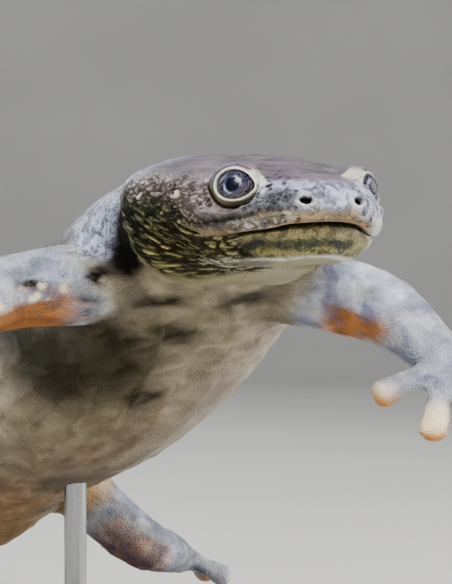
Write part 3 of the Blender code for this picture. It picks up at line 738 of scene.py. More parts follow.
def eyeStreakOf(p):
    # The pale streak that tapers from the front of each eye
    (fromA, fromB), (runA, runB) = eyeMarks["streakFrom"], eyeMarks["streakRun"]
    a, b = p.a - fromA, p.b - fromB
    t = np.clip((a * runA + b * runB) / (runA ** 2 + runB ** 2), 0, 1)
    patchy = 0.72 + 0.28 * ramp(p.fine, -0.3, 0.2)
    away = np.hypot(a - runA * t, b - runB * t)
    return p.nearEye * ramp(away, 0.85 - 0.3 * t, 0.35) * ramp(p.reach, 0.95, 1.05) * patchy


def paleOf(p, scales):
    # Lid rims and brow, lips, rims of the nostrils, the jaw's lower edge and beads, and a painted highlight
    # on the right arm
    head, x, drop, left = p.head, p.x, p.drop, p.left
    brow = p.nearEye * left * patchAt("brow", p.a, p.b) * ramp(p.reach, 0.95, 1.05)
    dotAt = eyeMarks["dot"]
    dot = p.nearEye * ramp(np.hypot(p.a - dotAt[0], p.b - dotAt[1]), 0.48, 0.26)
    jawRim = head * ramp(x, 7, 12) * hill(p.rim + 0.06 * p.fine, 0.05, 0.15) * ramp(p.fine, -1.2, -0.3)
    lipTip = head * ramp(x, 16.5, 19) * left * ramp(p.side, 5.0, 6.5) * ramp(np.abs(drop - 0.4), 1.3, 0.5)
    lipBand = head * ramp(x, 17.5, 19.5) * ramp(p.side, 3.4, 4.8) * ramp(np.abs(drop - 0.8), 0.75, 0.35)
    lipDots = head * scales["beads"] * scales["crest"] * hill(drop, 0.65, 0.38)
    jawDots = head * scales["cheek"] * scales["crest"] * ramp(p.rim, 0.9, 0.2) * ramp(x, 5, 9)
    jawEdge = head * patchAt("jawEdge", p.y, drop) * ramp(x, 16.5, 18.5)
    nostrilRim = head * ramp(p.nostril, 2.1, 1.5) * ramp(p.z, 4.7, 4.1)
    # a painted highlight near the right arm's root
    armGlint = p.behind * patchAt("armGlint", p.across, p.height) * ramp(np.abs(p.along - 6.8), 3.0, 2.0)
    return np.maximum.reduce([0.92 * lidRimOf(p), 0.8 * eyeStreakOf(p), 0.75 * brow, dot, 0.95 * jawRim,
                              0.25 * lipBand * (1 - left), 0.85 * lipTip, 0.75 * jawEdge, 0.8 * armGlint,
                              0.75 * lipDots, 0.7 * jawDots, 0.7 * nostrilRim])


def salmonOf(p):
    # The light line above the mouth
    rear = 0.75 * hill(p.drop, 0.16, 0.11) * window(p.x, 11.5, 13.0, 15.5, 17.5)
    return p.mouthOn * np.maximum(rear, hill(p.drop, 0.22, 0.12) * ramp(p.x, 21.5, 23.0))


def warmOf(p):
    # Orange below the limbs, on the tail's lower edge and the tips of the warts
    facingDown = ramp(-p.upward + 0.35 * p.soft - 0.24 * (p.across < 0), -0.3, 0.15) * p.far
    limb = p.limb * (1 - p.hand) * facingDown * ramp(p.y + 0.5 * p.soft, 22.0, 20.2)
    limb = limb * (1 - 0.45 * ramp(p.along, 60, 66))
    tailEdge = p.trunk * ramp(p.along, 88, 98) * ramp(p.height, -0.55, -0.85)
    return np.maximum.reduce([limb, tailEdge, 0.7 * p.trunk * p.warts])


def blueOf(p):
    # Blue grey snout, nape, shoulders, and the left side of the lip
    snout = p.head * ramp(p.x, 19.5, 22.0) * window(p.z, 2.8, 4.0, 6.0, 7.0)
    nape = p.head * ramp(p.x, 2.5, -4.5) * ramp(p.z, 3.6, 6.0)
    shoulder = p.behind * ramp(p.along + 1.5 * p.soft, 24, 9) * ramp(p.height + 0.1 * p.soft, -0.35, 0.05)
    return np.maximum.reduce([0.85 * snout, nape, 0.9 * shoulder ** 1.6, 0.9 * p.byArm, 0.9 * p.lipSide])


def slateOf(p, lore, scales):
    # Dark places on lore, jaw, lip, cheek and arms; on the front of the cheek partly painted shade
    x, z, drop, left, fine = p.x, p.z, p.drop, p.left, p.fine
    jaw = hill(drop + 0.3 * fine, -1.3 - 0.2 * np.clip(x - 21, 0, 4), 0.55) * ramp(x, 18.0, 20.0)
    jaw = 1.35 * jaw * ramp(p.rim, 0.1, 0.5) * ramp(p.y, 4.4, 2.6)
    lip = 1.1 * hill(drop + 0.2 * fine, 1.5, 0.5) * window(x, 14.5, 17.0, 22.0, 23.8) * (1 - left)
    # the front patch darkens the hollow behind the mouth's corner: painted shade, mottled like the cheek's
    # own dark
    cheek = np.maximum(0.9 * patchAt("cheekFront", x, z), 0.75 * patchAt("cheekBack", x, z))
    cheek = cheek * ramp(p.soft + 0.8 * fine, -1.0, 0.0) * ramp(p.side, 8.0, 10.0)
    cheek = cheek * (1 - 0.45 * scales["crest"])
    midLip = 0.5 * patchAt("midLip", p.y, z) * ramp(x, 23, 24)
    rightArm = p.limb * (1 - p.hand) * ramp(p.along, 26, 20) * ramp(p.across, -1.1, -1.4)
    armPatch = 1.6 * rightArm * patchAt("armPatch", p.across + 0.05 * fine, p.height)
    armFoot = p.behind * patchAt("armFoot", p.across, p.height + 0.05 * fine) * ramp(p.along, 15, 12)
    leftArm = p.limb * left * patchAt("leftArm", p.y, z) * ramp(x, -30, -20)
    onHead = p.head * np.maximum.reduce([0.75 * lore, jaw, lip, cheek, midLip])
    return np.maximum.reduce([onHead, 0.26 * rightArm, armPatch, 0.9 * armFoot, 0.6 * leftArm])


def tanOf(p):
    # Brownish lips, jaw, and crease before the right arm
    x, drop, fine = p.x, p.drop, p.fine
    snout = ramp(x, 21.5, 23.6) * ramp(p.z + 0.5 * fine, 3.9, 3.0) * ramp(drop, 0.05, 0.35)
    snout = snout * (1 - 0.8 * p.lipSide) * (1 - 0.6 * ramp(p.soft + fine, 0.1, 0.6) * ramp(drop, 0.4, 0.8))
    lip = window(x, 11.5, 13.5, 20.5, 22.5) * window(drop, 0.05, 0.3, 0.8, 1.15)
    jaw = hill(drop + 0.12 * fine, -0.75, 0.42) * ramp(x, 8.5, 12) * ramp(fine, -0.9, 0.2)
    arm = p.behind * patchAt("armTan", p.across, p.height) * ramp(p.along, 15, 12)
    return np.maximum(p.head * np.maximum.reduce([snout, 0.9 * lip, 0.75 * jaw]), 0.85 * arm)


def shadeOf(p):
    # Painted shade in the deep hollow behind the cheeks, and in the one below it before the right arm
    wide = np.abs(p.across)
    behind = p.behind * ramp(p.along - 3.6 * ramp(p.height, 0.0, -0.8) + 0.5 * p.soft, 6.6, 4.0)
    behind = behind * ramp(p.height, 0.9, 0.4) * window(wide, 0.58, 0.76, 1.06, 1.2) * (1 - p.limb)
    behind = behind * ramp(p.height - 0.25 * (wide - 0.8), -0.97, -0.85)
    below = p.behind * patchAt("hollow", p.across, p.height) * ramp(np.abs(p.along - 7.3), 3.5, 2.0)
    return np.maximum(behind, below)


def grooveShadeOf(p, scales, body):
    # Painted shade: the fold below the eye, a shadow line above it, pits, nostrils, the mouth, creases,
    # hollows, and grooves between scales
    x, drop = p.x, p.drop
    crease = p.nearEye * hill(p.fold, 1.0, 0.062) * ramp(p.b, 0.9, -0.3)
    # a painted shadow line along the brow above the right eye's lid
    browShadow = p.nearEye * hill(p.lid, 0.52, 0.08) * ramp(p.b, 0.5, 1.2) * (1 - eyeStreakOf(p)) * (1 - p.left)
    pit = p.head * ramp(p.pit, 0.36, 0.2)
    hole = p.head * ramp(p.nostril, 1.16, 0.92)
    slit = hill(drop, -0.06 * ramp(x, 21, 23), 0.12 + 0.04 * ramp(x, 18, 20)) * p.mouthOn * partedAt(x)
    scored = np.maximum.reduce([scales["cheek"], 0.84 * scales["temple"], 0.6 * scales["beads"]])
    lines = scored * ramp(scales["top"], 0.86, 0.25)
    neck = hill(x, -6.0, 1.1) * ramp(p.z, 6.0, 3.0) * (p.side < 15.6) * (p.z > -12)
    armpit = p.root * ramp(p.along, 26, 18) * ramp(p.height, -0.5, -0.8) * ramp(p.soft, -0.6, 0.2)
    granules = body["body"] * ramp(body["top"], 0.4, 0.05) * (1 - p.limb)
    return np.maximum.reduce([crease, 0.75 * browShadow, 0.7 * p.head * p.belowFold, pit, hole, slit,
                              0.9 * lines, 0.85 * neck, shadeOf(p), 0.45 * armpit, 0.3 * granules])


def blotOf(p):
    # Dark blotches of the belly, closer together on its right
    along, across = p.along, p.across
    blot = 0.5 * ramp(p.bellyCloud - 0.3 * across, 0.15, 0.55) * ramp(along, 56, 64)
    blot = np.maximum(blot, 0.88 * patchAt("darkFlank", along + 2 * p.soft, across + 0.1 * p.fine))
    for middle, size in bellyBlotches:
        blot = np.maximum(blot, spot(along + 1.2 * p.soft, across + 0.08 * p.fine, middle, size))
    return p.trunk * blot ** 0.7 * ramp(p.height, 0.35, 0.0) * (1 - 0.7 * ramp(across, 0.5, 0.7))


def litSideAndPaleChestOf(p, under):
    # A painted band of light down the belly's left, and the light chest
    middle = np.maximum(0.3 - 0.028 * (p.along - 30), -0.36)
    band = hill(p.across, middle, 0.34) * window(p.along, 14, 24, 70, 84)
    return under * np.maximum(band, 0.7 * patchAt("paleChest", p.along, p.across))


def paintSkin(mesh, p, scales, body):
    # Masks that the skin's colours are drawn from
    head, x, z, olive = p.head, p.x, p.z, oliveOf(p)
    pale, under, throat = paleOf(p, scales), underOf(p), throatOf(p)
    lore = patchAt("lore", x, z) * ramp(p.side, 3.2, 4.6) * (1 - 0.7 * p.left)
    grain = head * (1 - lidRimOf(p)) * (0.2 + 0.8 * np.maximum(olive, lore))
    vent = p.trunk * ramp(p.height, -0.1, -0.6) * ramp(p.along + 3 * p.soft, 64, 74) * ramp(p.along, 112, 100)
    tone = np.where(body["body"] > 0.5, body["tone"], scales["tone"])
    masks = {
        "olive": olive,
        "throat": throat,
        "pale": pale,
        "under": under,
        "warm": warmOf(p),
        "blue": blueOf(p),
        "slate": slateOf(p, lore, scales),
        "tan": tanOf(p),
        # painted shade in creases, hollows, pits, nostrils, the mouth and between scales
        "grooveShade": grooveShadeOf(p, scales, body),
        "tip": p.tip,
        "salmon": salmonOf(p),
        "blot": blotOf(p),
        # painted light down the belly's left, and the light chest
        "litSideAndPaleChest": litSideAndPaleChestOf(p, under),
        "limb": p.behind,
        "vent": 0.8 * vent,
        "jaw": head * ramp(x, 9, 13) * ramp(p.rim, -0.1, 0.35) * ramp(p.drop, 0.1, -0.15),
        # crest and knob: lighter tops of cheek scales and temple granules, partly their own pale colour and
        # partly a painted highlight
        "crest": scales["crest"] * np.maximum(scales["cheek"], 0.6 * olive),
        "knob": scales["crest"] * scales["temple"] * (1 - olive) * (1 - scales["cheek"]),
        # on the fingertips the tone follows the facing: orange below, their own colour, and lighter on top as
        # painted light
        "tone": np.where(p.tip > 0.3, ramp(p.upward, -0.8, 0.5), tone),
        "fold": p.underEye,
        "bead": armBeadsOf(p),
        "speck": head * (1 - olive) * ramp(x, 14, 21) * (1 - pale) * (0.35 + 0.65 * ramp(p.side, 2.0, 4.0)),
        "crown": head * (1 - olive) * (1 - scales["temple"]) * ramp(z, 4.5, 6.0),
        "grain": grain * (1 - p.underEye) * (1 - throat),
        "back": p.trunk * (1 - under),
    }
    for name, values in masks.items():
        made = mesh.attributes.new(name, "FLOAT", "POINT")
        made.data.foreach_set("value", np.clip(values, 0, 1).astype(np.float32))


def makeSkin():
    noise.seed_set(skinPlan["warpSeed"])
    skin = fuseFlesh()
    mesh = skin.data
    writePoints(mesh, smoothPoints(readPoints(mesh), readEdges(mesh), skinPlan["passes"]))
    thinBody(skin)
    splitFaces(skin, needsDetail)
    splitFaces(skin, byEyeOrMouth)
    mesh = skin.data
    points = readPoints(mesh)
    front = ramp(inHead(points)[:, :1], -9.0, -7.0)
    writePoints(mesh, smoothPoints(points, readEdges(mesh), skinPlan["headPasses"], front))
    mesh.polygons.foreach_set("use_smooth", [True] * len(mesh.polygons))

    points = readPoints(mesh)
    limbs = limbPlaces(points)
    edges = readEdges(mesh)
    for _ in range(bodyDetail["rootPasses"]):
        points = points + (averageOver(edges, points) - points) * 0.5 * limbs["root"][:, None]
    writePoints(mesh, points)
    normals = readNormals(mesh)
    f = headPlaces(points)
    place = onSpine(points)
    print("places found")
    mouthLift, mouthOn = shapeMouth(f)
    scaleLift, scales = shapeScales(f)
    bodyLift, body = shapeBody(points, f, place, limbs)
    lift = shapeFolds(f) * (1 - limbs["limb"]) + mouthLift + shapeNostrils(f) + scaleLift + bodyLift
    sides = np.stack((np.ones(len(points)), -np.sign(f["y"]), np.ones(len(points))), 1)
    out = (sides * eyeOut) @ headAxes
    points = points + normals * lift[:, None] + out * lidHeight(f)[:, None]
    points = keepOffEyes(points - headAxes[2] * lipHang(f)[:, None], f)
    writePoints(mesh, points)
    print("shape carved")
    paintSkin(mesh, paintPlaces(points, normals, f, place, limbs, mouthOn), scales, body)
    print("masks painted")
    return skin


def tint(r, g, b):
    # Colour from sRGB values of 0 to 255
    light = [((c / 255 + 0.055) / 1.055) ** 2.4 if c > 10 else c / 255 / 12.92 for c in (r, g, b)]
    return (*light, 1.0)


skinTints = {
    "crown": (tint(76, 70, 80), tint(120, 108, 120)),
    "temple": (tint(66, 54, 50), tint(172, 154, 148)),
    "knob": (tint(168, 150, 144), tint(222, 206, 202)),
    "olive": (tint(34, 36, 8), tint(120, 114, 44)),
    "crest": (tint(150, 142, 62), tint(214, 204, 128)),
    "throat": (tint(110, 102, 66), tint(170, 160, 118)),
    "blue": (tint(62, 70, 90), tint(212, 220, 246)),
    "limb": (tint(128, 138, 168), tint(240, 245, 255)),
    "under": (tint(152, 140, 110), tint(204, 192, 162)),
    "vent": (tint(208, 164, 108), tint(242, 208, 160)),
    "jaw": (tint(56, 60, 24), tint(176, 166, 96)),
    # painted light down the belly's left, and the light chest
    "litSideAndPaleChest": (tint(150, 128, 104), tint(204, 184, 158)),
    "blotch": (tint(26, 25, 12), tint(58, 54, 34)),
    "warm": (tint(112, 58, 8), tint(214, 140, 60)),
    "bead": (tint(236, 200, 132), tint(255, 240, 206)),
    "pale": (tint(196, 192, 160), tint(250, 250, 240)),
    "slate": (tint(22, 26, 18), tint(64, 68, 56)),
    "tan": (tint(84, 70, 42), tint(164, 138, 96)),
    "salmon": (tint(178, 122, 84), tint(222, 178, 140)),
    "fold": (tint(54, 52, 56), tint(102, 96, 98)),
    "back": (tint(62, 56, 54), tint(112, 104, 102)),
    "tip": (tint(206, 138, 60), tint(255, 234, 188)),
    # painted shade of creases, hollows, pits, the mouth and the grooves between scales and granules
    "grooveShade": (tint(14, 12, 8), tint(30, 24, 16)),
}


def newMaterial(name):
    made = bpy.data.materials.new(name)
    made.use_nodes = True
    tree = made.node_tree
    tree.nodes.clear()
    shader = tree.nodes.new("ShaderNodeBsdfPrincipled")
    output = tree.nodes.new("ShaderNodeOutputMaterial")
    tree.links.new(shader.outputs[0], output.inputs[0])
    return made, tree, shader


def feed(tree, socket, value):
    if isinstance(value, bpy.types.NodeSocket):
        tree.links.new(value, socket)
    else:
        socket.default_value = value


def mask(tree, name):
    node = tree.nodes.new("ShaderNodeAttribute")
    node.attribute_name = name
    return node.outputs["Fac"]


def spread(tree, value, low, high, toLow=0.0, toHigh=1.0):
    node = tree.nodes.new("ShaderNodeMapRange")
    node.interpolation_type = "SMOOTHSTEP"
    sockets = ("Value", "From Min", "From Max", "To Min", "To Max")
    for socket, given in zip(sockets, (value, low, high, toLow, toHigh)):
        feed(tree, node.inputs[socket], given)
    return node.outputs["Result"]


def blend(tree, factor, first, second, kind="MIX"):
    node = tree.nodes.new("ShaderNodeMix")
    node.data_type = "RGBA"
    node.blend_type = kind
    for i, given in zip((0, 6, 7), (factor, first, second)):
        feed(tree, node.inputs[i], given)
    return node.outputs[2]


def maths(tree, kind, first, second):
    node = tree.nodes.new("ShaderNodeMath")
    node.operation = kind
    feed(tree, node.inputs[0], first)
    feed(tree, node.inputs[1], second)
    return node.outputs[0]


def mottleGroup():
    # Warped noise cut softly between two levels, which every finish here mixes its colours by
    tree = bpy.data.node_groups.new("mottle", "ShaderNodeTree")
    tree.interface.new_socket("Place", in_out="INPUT", socket_type="NodeSocketVector")
    for name in ("Scale", "Detail", "Roughness", "Warp", "Low", "High"):
        tree.interface.new_socket(name, in_out="INPUT", socket_type="NodeSocketFloat")
    tree.interface.new_socket("Amount", in_out="OUTPUT", socket_type="NodeSocketFloat")
    given = tree.nodes.new("NodeGroupInput").outputs
    cloud = tree.nodes.new("ShaderNodeTexNoise")
    pairs = (("Vector", "Place"), ("Scale", "Scale"), ("Detail", "Detail"), ("Roughness", "Roughness"),
             ("Distortion", "Warp"))
    for socket, name in pairs:
        tree.links.new(given[name], cloud.inputs[socket])
    amount = spread(tree, cloud.outputs[0], given["Low"], given["High"])
    tree.links.new(amount, tree.nodes.new("NodeGroupOutput").inputs["Amount"])
    return tree


mottled = mottleGroup()


def mottle(tree, place, scale, low, high, detail=3.0, rough=0.55, warp=0.0):
    node = tree.nodes.new("ShaderNodeGroup")
    node.node_tree = mottled
    feed(tree, node.inputs["Place"], place)
    names = ("Scale", "Detail", "Roughness", "Warp", "Low", "High")
    for name, value in zip(names, (scale, detail, rough, warp, low, high)):
        node.inputs[name].default_value = value
    return node.outputs["Amount"]


def cellsAt(tree, vector, scale, feature="F1"):
    node = tree.nodes.new("ShaderNodeTexVoronoi")
    node.feature = feature
    feed(tree, node.inputs["Vector"], vector)
    node.inputs["Scale"].default_value = scale
    return node.outputs["Distance"]


def stretched(tree, vector, scale):
    node = tree.nodes.new("ShaderNodeMapping")
    feed(tree, node.inputs["Vector"], vector)
    node.inputs["Scale"].default_value = scale
    return node.outputs[0]


def objectPlace(tree):
    return tree.nodes.new("ShaderNodeTexCoord").outputs["Object"]


# Noise that the skin's colours mix by: scale, low and high level, detail, roughness and warp
skinNoise = {
    "cloud": (260.0, 0.32, 0.68, 4.0, 0.6, 0.4),
    "broad": (95.0, 0.40, 0.62, 3.0, 0.5, 0.5),
    "patch": (110.0, 0.50, 0.62, 3.0, 0.55, 0.6),
    "grain": (1500.0, 0.2, 0.8, 3.0, 0.6),
    "streak": (420.0, 0.3, 0.7, 3.0, 0.6, 0.5),
    "flaws": (700.0, 0.43, 0.57, 4.0, 0.65, 0.8),
}

skinFinish = {
    "granules": 2100.0,     # scales of the cells for granules, arm beads and specks
    "armBeads": 620.0,
    "specks": 1000.0,
    "grainBump": 0.00012,   # heights in metres
    "granuleBump": 0.00014,
    "roughness": (0.38, 0.56),
    "specular": (0.36, 0.05),       # of clean skin, and in grooves and dark patches
    "coat": 0.14,
    "coatRoughness": 0.24,
    "subsurface": 0.12,
    "subsurfaceScale": 0.0008,
}


def skinMaterial():
    made, tree, shader = newMaterial("newt_skin")
    look = skinFinish
    place = objectPlace(tree)
    cloud, broad, patch, grain, flaws = (mottle(tree, place, *skinNoise[name])
                                         for name in ("cloud", "broad", "patch", "grain", "flaws"))
    streak = mottle(tree, stretched(tree, place, (0.5, 0.5, 2.6)), *skinNoise["streak"])
    edge = cellsAt(tree, place, look["granules"], "DISTANCE_TO_EDGE")
    tone = mask(tree, "tone")

    def times(first, second):
        return maths(tree, "MULTIPLY", first, second)

    def pair(name, factor):
        return blend(tree, factor, *skinTints[name])

    def layer(colour, name, second, factor=None):
        on = mask(tree, name)
        return blend(tree, on if factor is None else times(on, factor), colour, second)

    both = maths(tree, "ADD", times(cloud, 0.55), times(tone, 0.45))
    colour = pair("temple", both)
    colour = layer(colour, "crown", pair("crown", streak))
    # lighter tops of the temple granules: partly their own pale colour, partly a painted highlight
    colour = layer(colour, "knob", pair("knob", tone), spread(tree, tone, 0.1, 0.9, 0.2, 0.9))
    limb = blend(tree, spread(tree, broad, 0.55, 0.0, 0.0, 0.4), pair("limb", both), skinTints["slate"][1])
    colour = layer(colour, "limb", limb)
    back = blend(tree, times(patch, 0.55), pair("back", cloud), skinTints["blotch"][0])
    colour = layer(colour, "back", back)
    colour = layer(colour, "blue", pair("blue", maths(tree, "ADD", times(both, 0.35), times(flaws, 0.65))))
    colour = layer(colour, "olive", pair("olive", both))
    colour = layer(colour, "jaw", pair("jaw", flaws), 0.8)
    throat = blend(tree, times(broad, 0.45), pair("throat", both), skinTints["olive"][1])
    colour = layer(colour, "throat", throat)
    colour = layer(colour, "tan", pair("tan", maths(tree, "ADD", times(both, 0.4), times(flaws, 0.6))))
    # lighter tops of the cheek scales: partly their own cream colour, partly a painted highlight
    colour = layer(colour, "crest", pair("crest", tone), spread(tree, tone, 0.15, 0.85, 0.15, 0.75))
    belly = blend(tree, times(patch, 0.30), pair("under", both), skinTints["blotch"][1])
    colour = layer(colour, "under", belly)
    # painted light down the belly's left, and the light chest
    colour = layer(colour, "litSideAndPaleChest", pair("litSideAndPaleChest", both), 0.92)
    colour = layer(colour, "vent", pair("vent", both))
    colour = layer(colour, "blot", pair("blotch", both), spread(tree, cloud, 0.0, 0.5, 0.85, 1.0))
    colour = layer(colour, "fold", pair("fold", cloud), 0.85)
    colour = layer(colour, "slate", pair("slate", both), spread(tree, flaws, 0.0, 1.0, 1.0, 0.88))
    colour = layer(colour, "salmon", pair("salmon", cloud), 0.85)
    colour = layer(colour, "warm", pair("warm", both), spread(tree, cloud, 0.0, 0.5, 0.8, 1.0))
    beads = spread(tree, cellsAt(tree, place, look["armBeads"]), 0.56, 0.24)
    colour = layer(colour, "bead", pair("bead", broad), beads)
    colour = layer(colour, "pale", pair("pale", both))
    specks = spread(tree, cellsAt(tree, place, look["specks"]), 0.36, 0.22, 0.0, 0.85)
    colour = layer(colour, "speck", skinTints["slate"][0], specks)
    # fingertips, orange below as their own colour and lighter on top as painted light
    colour = layer(colour, "tip", pair("tip", tone))
    # painted shade along the edges between the granules
    borders = times(times(mask(tree, "grain"), flaws), spread(tree, edge, 0.16, 0.02, 0.0, 0.45))
    colour = blend(tree, borders, colour, skinTints["grooveShade"][1])
    colour = blend(tree, times(grain, 0.22), colour, skinTints["blotch"][0], "MULTIPLY")
    # painted shade, darkest in creases, hollows, pits, nostrils and the mouth's slit
    colour = layer(colour, "grooveShade", skinTints["grooveShade"][0])
    feed(tree, shader.inputs["Base Color"], colour)

    small = tree.nodes.new("ShaderNodeBump")
    small.inputs["Strength"].default_value = 0.35
    small.inputs["Distance"].default_value = look["grainBump"]
    feed(tree, small.inputs["Height"], grain)
    pebble = tree.nodes.new("ShaderNodeBump")
    pebble.inputs["Distance"].default_value = look["granuleBump"]
    feed(tree, pebble.inputs["Strength"], spread(tree, mask(tree, "crown"), 0.0, 1.0, 0.6, 0.15))
    feed(tree, pebble.inputs["Height"], spread(tree, edge, 0.0, 0.3))
    feed(tree, pebble.inputs["Normal"], small.outputs[0])
    feed(tree, shader.inputs["Normal"], pebble.outputs[0])
    grooveShade = mask(tree, "grooveShade")
    sheen = maths(tree, "MAXIMUM", spread(tree, cloud, 0.0, 1.0, *look["roughness"]), times(grooveShade, 0.9))
    feed(tree, shader.inputs["Roughness"], sheen)
    feed(tree, shader.inputs["Coat Weight"], spread(tree, grooveShade, 0.1, 0.6, look["coat"], 0.0))
    dull = maths(tree, "MAXIMUM", grooveShade, times(mask(tree, "slate"), 0.8))
    dull = maths(tree, "MAXIMUM", dull, times(mask(tree, "blot"), 0.7))
    feed(tree, shader.inputs["Specular IOR Level"], spread(tree, dull, 0.1, 0.9, *look["specular"]))
    shader.inputs["Subsurface Weight"].default_value = look["subsurface"]
    shader.inputs["Subsurface Radius"].default_value = (1.0, 0.5, 0.3)
    shader.inputs["Subsurface Scale"].default_value = look["subsurfaceScale"]
    shader.inputs["Coat Roughness"].default_value = look["coatRoughness"]
    return made


eyeLook = {
    "segments": 96,
    "rings": 72,
    "cornea": 0.10,         # how far the clear front stands proud of the ball
    "pupil": 0.30,          # radii as shares of the ball's
    "ringOut": 0.37,
    "arcs": 62.0,           # how closely the iris's fine rings lie
}


def makeEye(name, side):
    low, high = (np.array(c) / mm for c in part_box(name))
    centre = (low + high) / 2
    turn, tilt = (math.radians(angle) for angle in eyePlan["gaze"][name])
    out = np.array((math.cos(turn) * math.cos(tilt), side * math.sin(turn) * math.cos(tilt), math.sin(tilt)))
    level = np.cross((0, 0, 1), out) * -side
    level /= np.linalg.norm(level)
    up = np.cross(out, level) * -side
    level, up, out = (way @ headAxes for way in (level, up, out))
    bm = bmesh.new()
    bmesh.ops.create_uvsphere(bm, u_segments=eyeLook["segments"], v_segments=eyeLook["rings"], radius=1.0)
    iris = bm.verts.layers.float_vector.new("iris")
    for v in bm.verts:
        local = v.co.copy()
        v[iris] = local
        proud = eyePlan["radius"] + eyeLook["cornea"] * math.exp(-((1 - local.z) / 0.25) ** 2)
        v.co = Vector((centre + (level * local.x + up * local.y + out * local.z) * proud) * mm)
    bmesh.ops.recalc_face_normals(bm, faces=bm.faces)
    for face in bm.faces:
        face.smooth = True
    mesh = bpy.data.meshes.new(name + "_ball")
    bm.to_mesh(mesh)
    bm.free()
    eye = bpy.data.objects.new(name + "_ball", mesh)
    bpy.context.scene.collection.objects.link(eye)
    return eye


eyeTints = {
    "pupil": (tint(2, 3, 14), tint(6, 8, 30)),
    "silver": (tint(56, 58, 84), tint(148, 154, 180)),
    "iris": (tint(7, 8, 16), tint(50, 52, 70)),
    "low": (tint(26, 24, 26), tint(88, 72, 70)),
    "edge": tint(10, 14, 18),
}


def eyeMaterial():
    made, tree, shader = newMaterial("newt_eye")
    node = tree.nodes.new("ShaderNodeAttribute")
    node.attribute_name = "iris"
    place = node.outputs["Vector"]
    parts = tree.nodes.new("ShaderNodeSeparateXYZ")
    feed(tree, parts.inputs[0], place)
    across, up = parts.outputs[0], parts.outputs[1]
    squares = maths(tree, "ADD", maths(tree, "POWER", across, 2.0), maths(tree, "POWER", up, 2.0))
    wobble = mottle(tree, place, 7.0, 0.3, 0.7, 2.0)
    uneven = spread(tree, wobble, 0.0, 1.0, -0.018, 0.018)
    radius = maths(tree, "ADD", maths(tree, "POWER", squares, 0.5), uneven)
    flecks = mottle(tree, place, 13.0, 0.34, 0.68, 4.0, 0.65, 1.2)
    forwardLow = maths(tree, "SUBTRACT", maths(tree, "MULTIPLY", across, 0.7), up)
    lower = spread(tree, forwardLow, 0.05, 0.5, 0.0, 0.8)
    colour = blend(tree, lower, blend(tree, flecks, *eyeTints["iris"]), blend(tree, flecks, *eyeTints["low"]))
    colour = blend(tree, spread(tree, radius, 0.52, 0.8), colour, eyeTints["edge"])
    # painted highlight: the silver ring lighter in two opposite quarters, as a reflection
    ringHighlight = spread(tree, maths(tree, "MULTIPLY", across, up), -0.03, 0.05)
    arcs = maths(tree, "SINE", maths(tree, "MULTIPLY", radius, eyeLook["arcs"]), 0.0)
    arcs = maths(tree, "MULTIPLY", spread(tree, arcs, 0.2, 1.0, 0.0, 0.4), spread(tree, flecks, 0.2, 0.8))
    colour = blend(tree, arcs, colour, eyeTints["silver"][1])
    ring = spread(tree, radius, eyeLook["ringOut"] + 0.04, eyeLook["ringOut"] - 0.02)
    ring = maths(tree, "MULTIPLY", ring, spread(tree, flecks, 0.0, 0.5, 0.5, 1.0))
    colour = blend(tree, ring, colour, blend(tree, ringHighlight, *eyeTints["silver"]))
    middle = spread(tree, radius, eyeLook["pupil"] + 0.02, eyeLook["pupil"] - 0.02)
    colour = blend(tree, middle, colour, blend(tree, wobble, *eyeTints["pupil"]))
    feed(tree, shader.inputs["Base Color"], colour)
    feed(tree, shader.inputs["Roughness"], spread(tree, flecks, 0.0, 1.0, 0.22, 0.4))
    shader.inputs["Specular IOR Level"].default_value = 0.15
    shader.inputs["Coat Weight"].default_value = 0.25
    shader.inputs["Coat Roughness"].default_value = 0.04
    return made


def woodMaterial():
    made, tree, shader = newMaterial("stained_wood")
    place = stretched(tree, objectPlace(tree), (9.0, 1.0, 9.0))
    rings = mottle(tree, place, 38.0, 0.35, 0.65, 4.0, 0.6, 1.4)
    pores = mottle(tree, place, 240.0, 0.45, 0.65, 3.0, 0.65)
    colour = blend(tree, rings, tint(52, 40, 34), tint(92, 72, 58))
    colour = blend(tree, spread(tree, pores, 0.4, 0.9, 0.0, 0.5), colour, tint(30, 24, 21))
    feed(tree, shader.inputs["Base Color"], colour)
    feed(tree, shader.inputs["Roughness"], spread(tree, rings, 0.0, 1.0, 0.42, 0.55))
    bump = tree.nodes.new("ShaderNodeBump")
    bump.inputs["Strength"].default_value = 0.25
    bump.inputs["Distance"].default_value = 0.0002
    feed(tree, bump.inputs["Height"], pores)
    feed(tree, shader.inputs["Normal"], bump.outputs[0])
    return made


def steelMaterial():
    made, tree, shader = newMaterial("satin_steel")
    place = stretched(tree, objectPlace(tree), (1.0, 1.0, 0.04))
    lines = mottle(tree, place, 2600.0, 0.3, 0.7, 3.0, 0.6)
    feed(tree, shader.inputs["Base Color"], blend(tree, lines, tint(150, 152, 154), tint(186, 187, 188)))
    feed(tree, shader.inputs["Roughness"], spread(tree, lines, 0.0, 1.0, 0.26, 0.4))
    shader.inputs["Metallic"].default_value = 1.0
    return made


def stageMaterial():
    made, tree, shader = newMaterial("pale_floor")
    soft = mottle(tree, objectPlace(tree), 6.0, 0.3, 0.7)
    feed(tree, shader.inputs["Base Color"], blend(tree, soft, tint(196, 195, 192), tint(204, 203, 200)))
    shader.inputs["Roughness"].default_value = 0.8
    return made


viewPlan = {
    "turn": -23.0,          # degrees that the camera stands to the newt's right of straight ahead
    "far": 230.0,           # millimetres back, across and down from the head
    "across": -1.24,
    "down": -7.3,
    "sensor": 36.0,
    "reach": 1966 / 452,    # focal length as a share of the picture's width
}


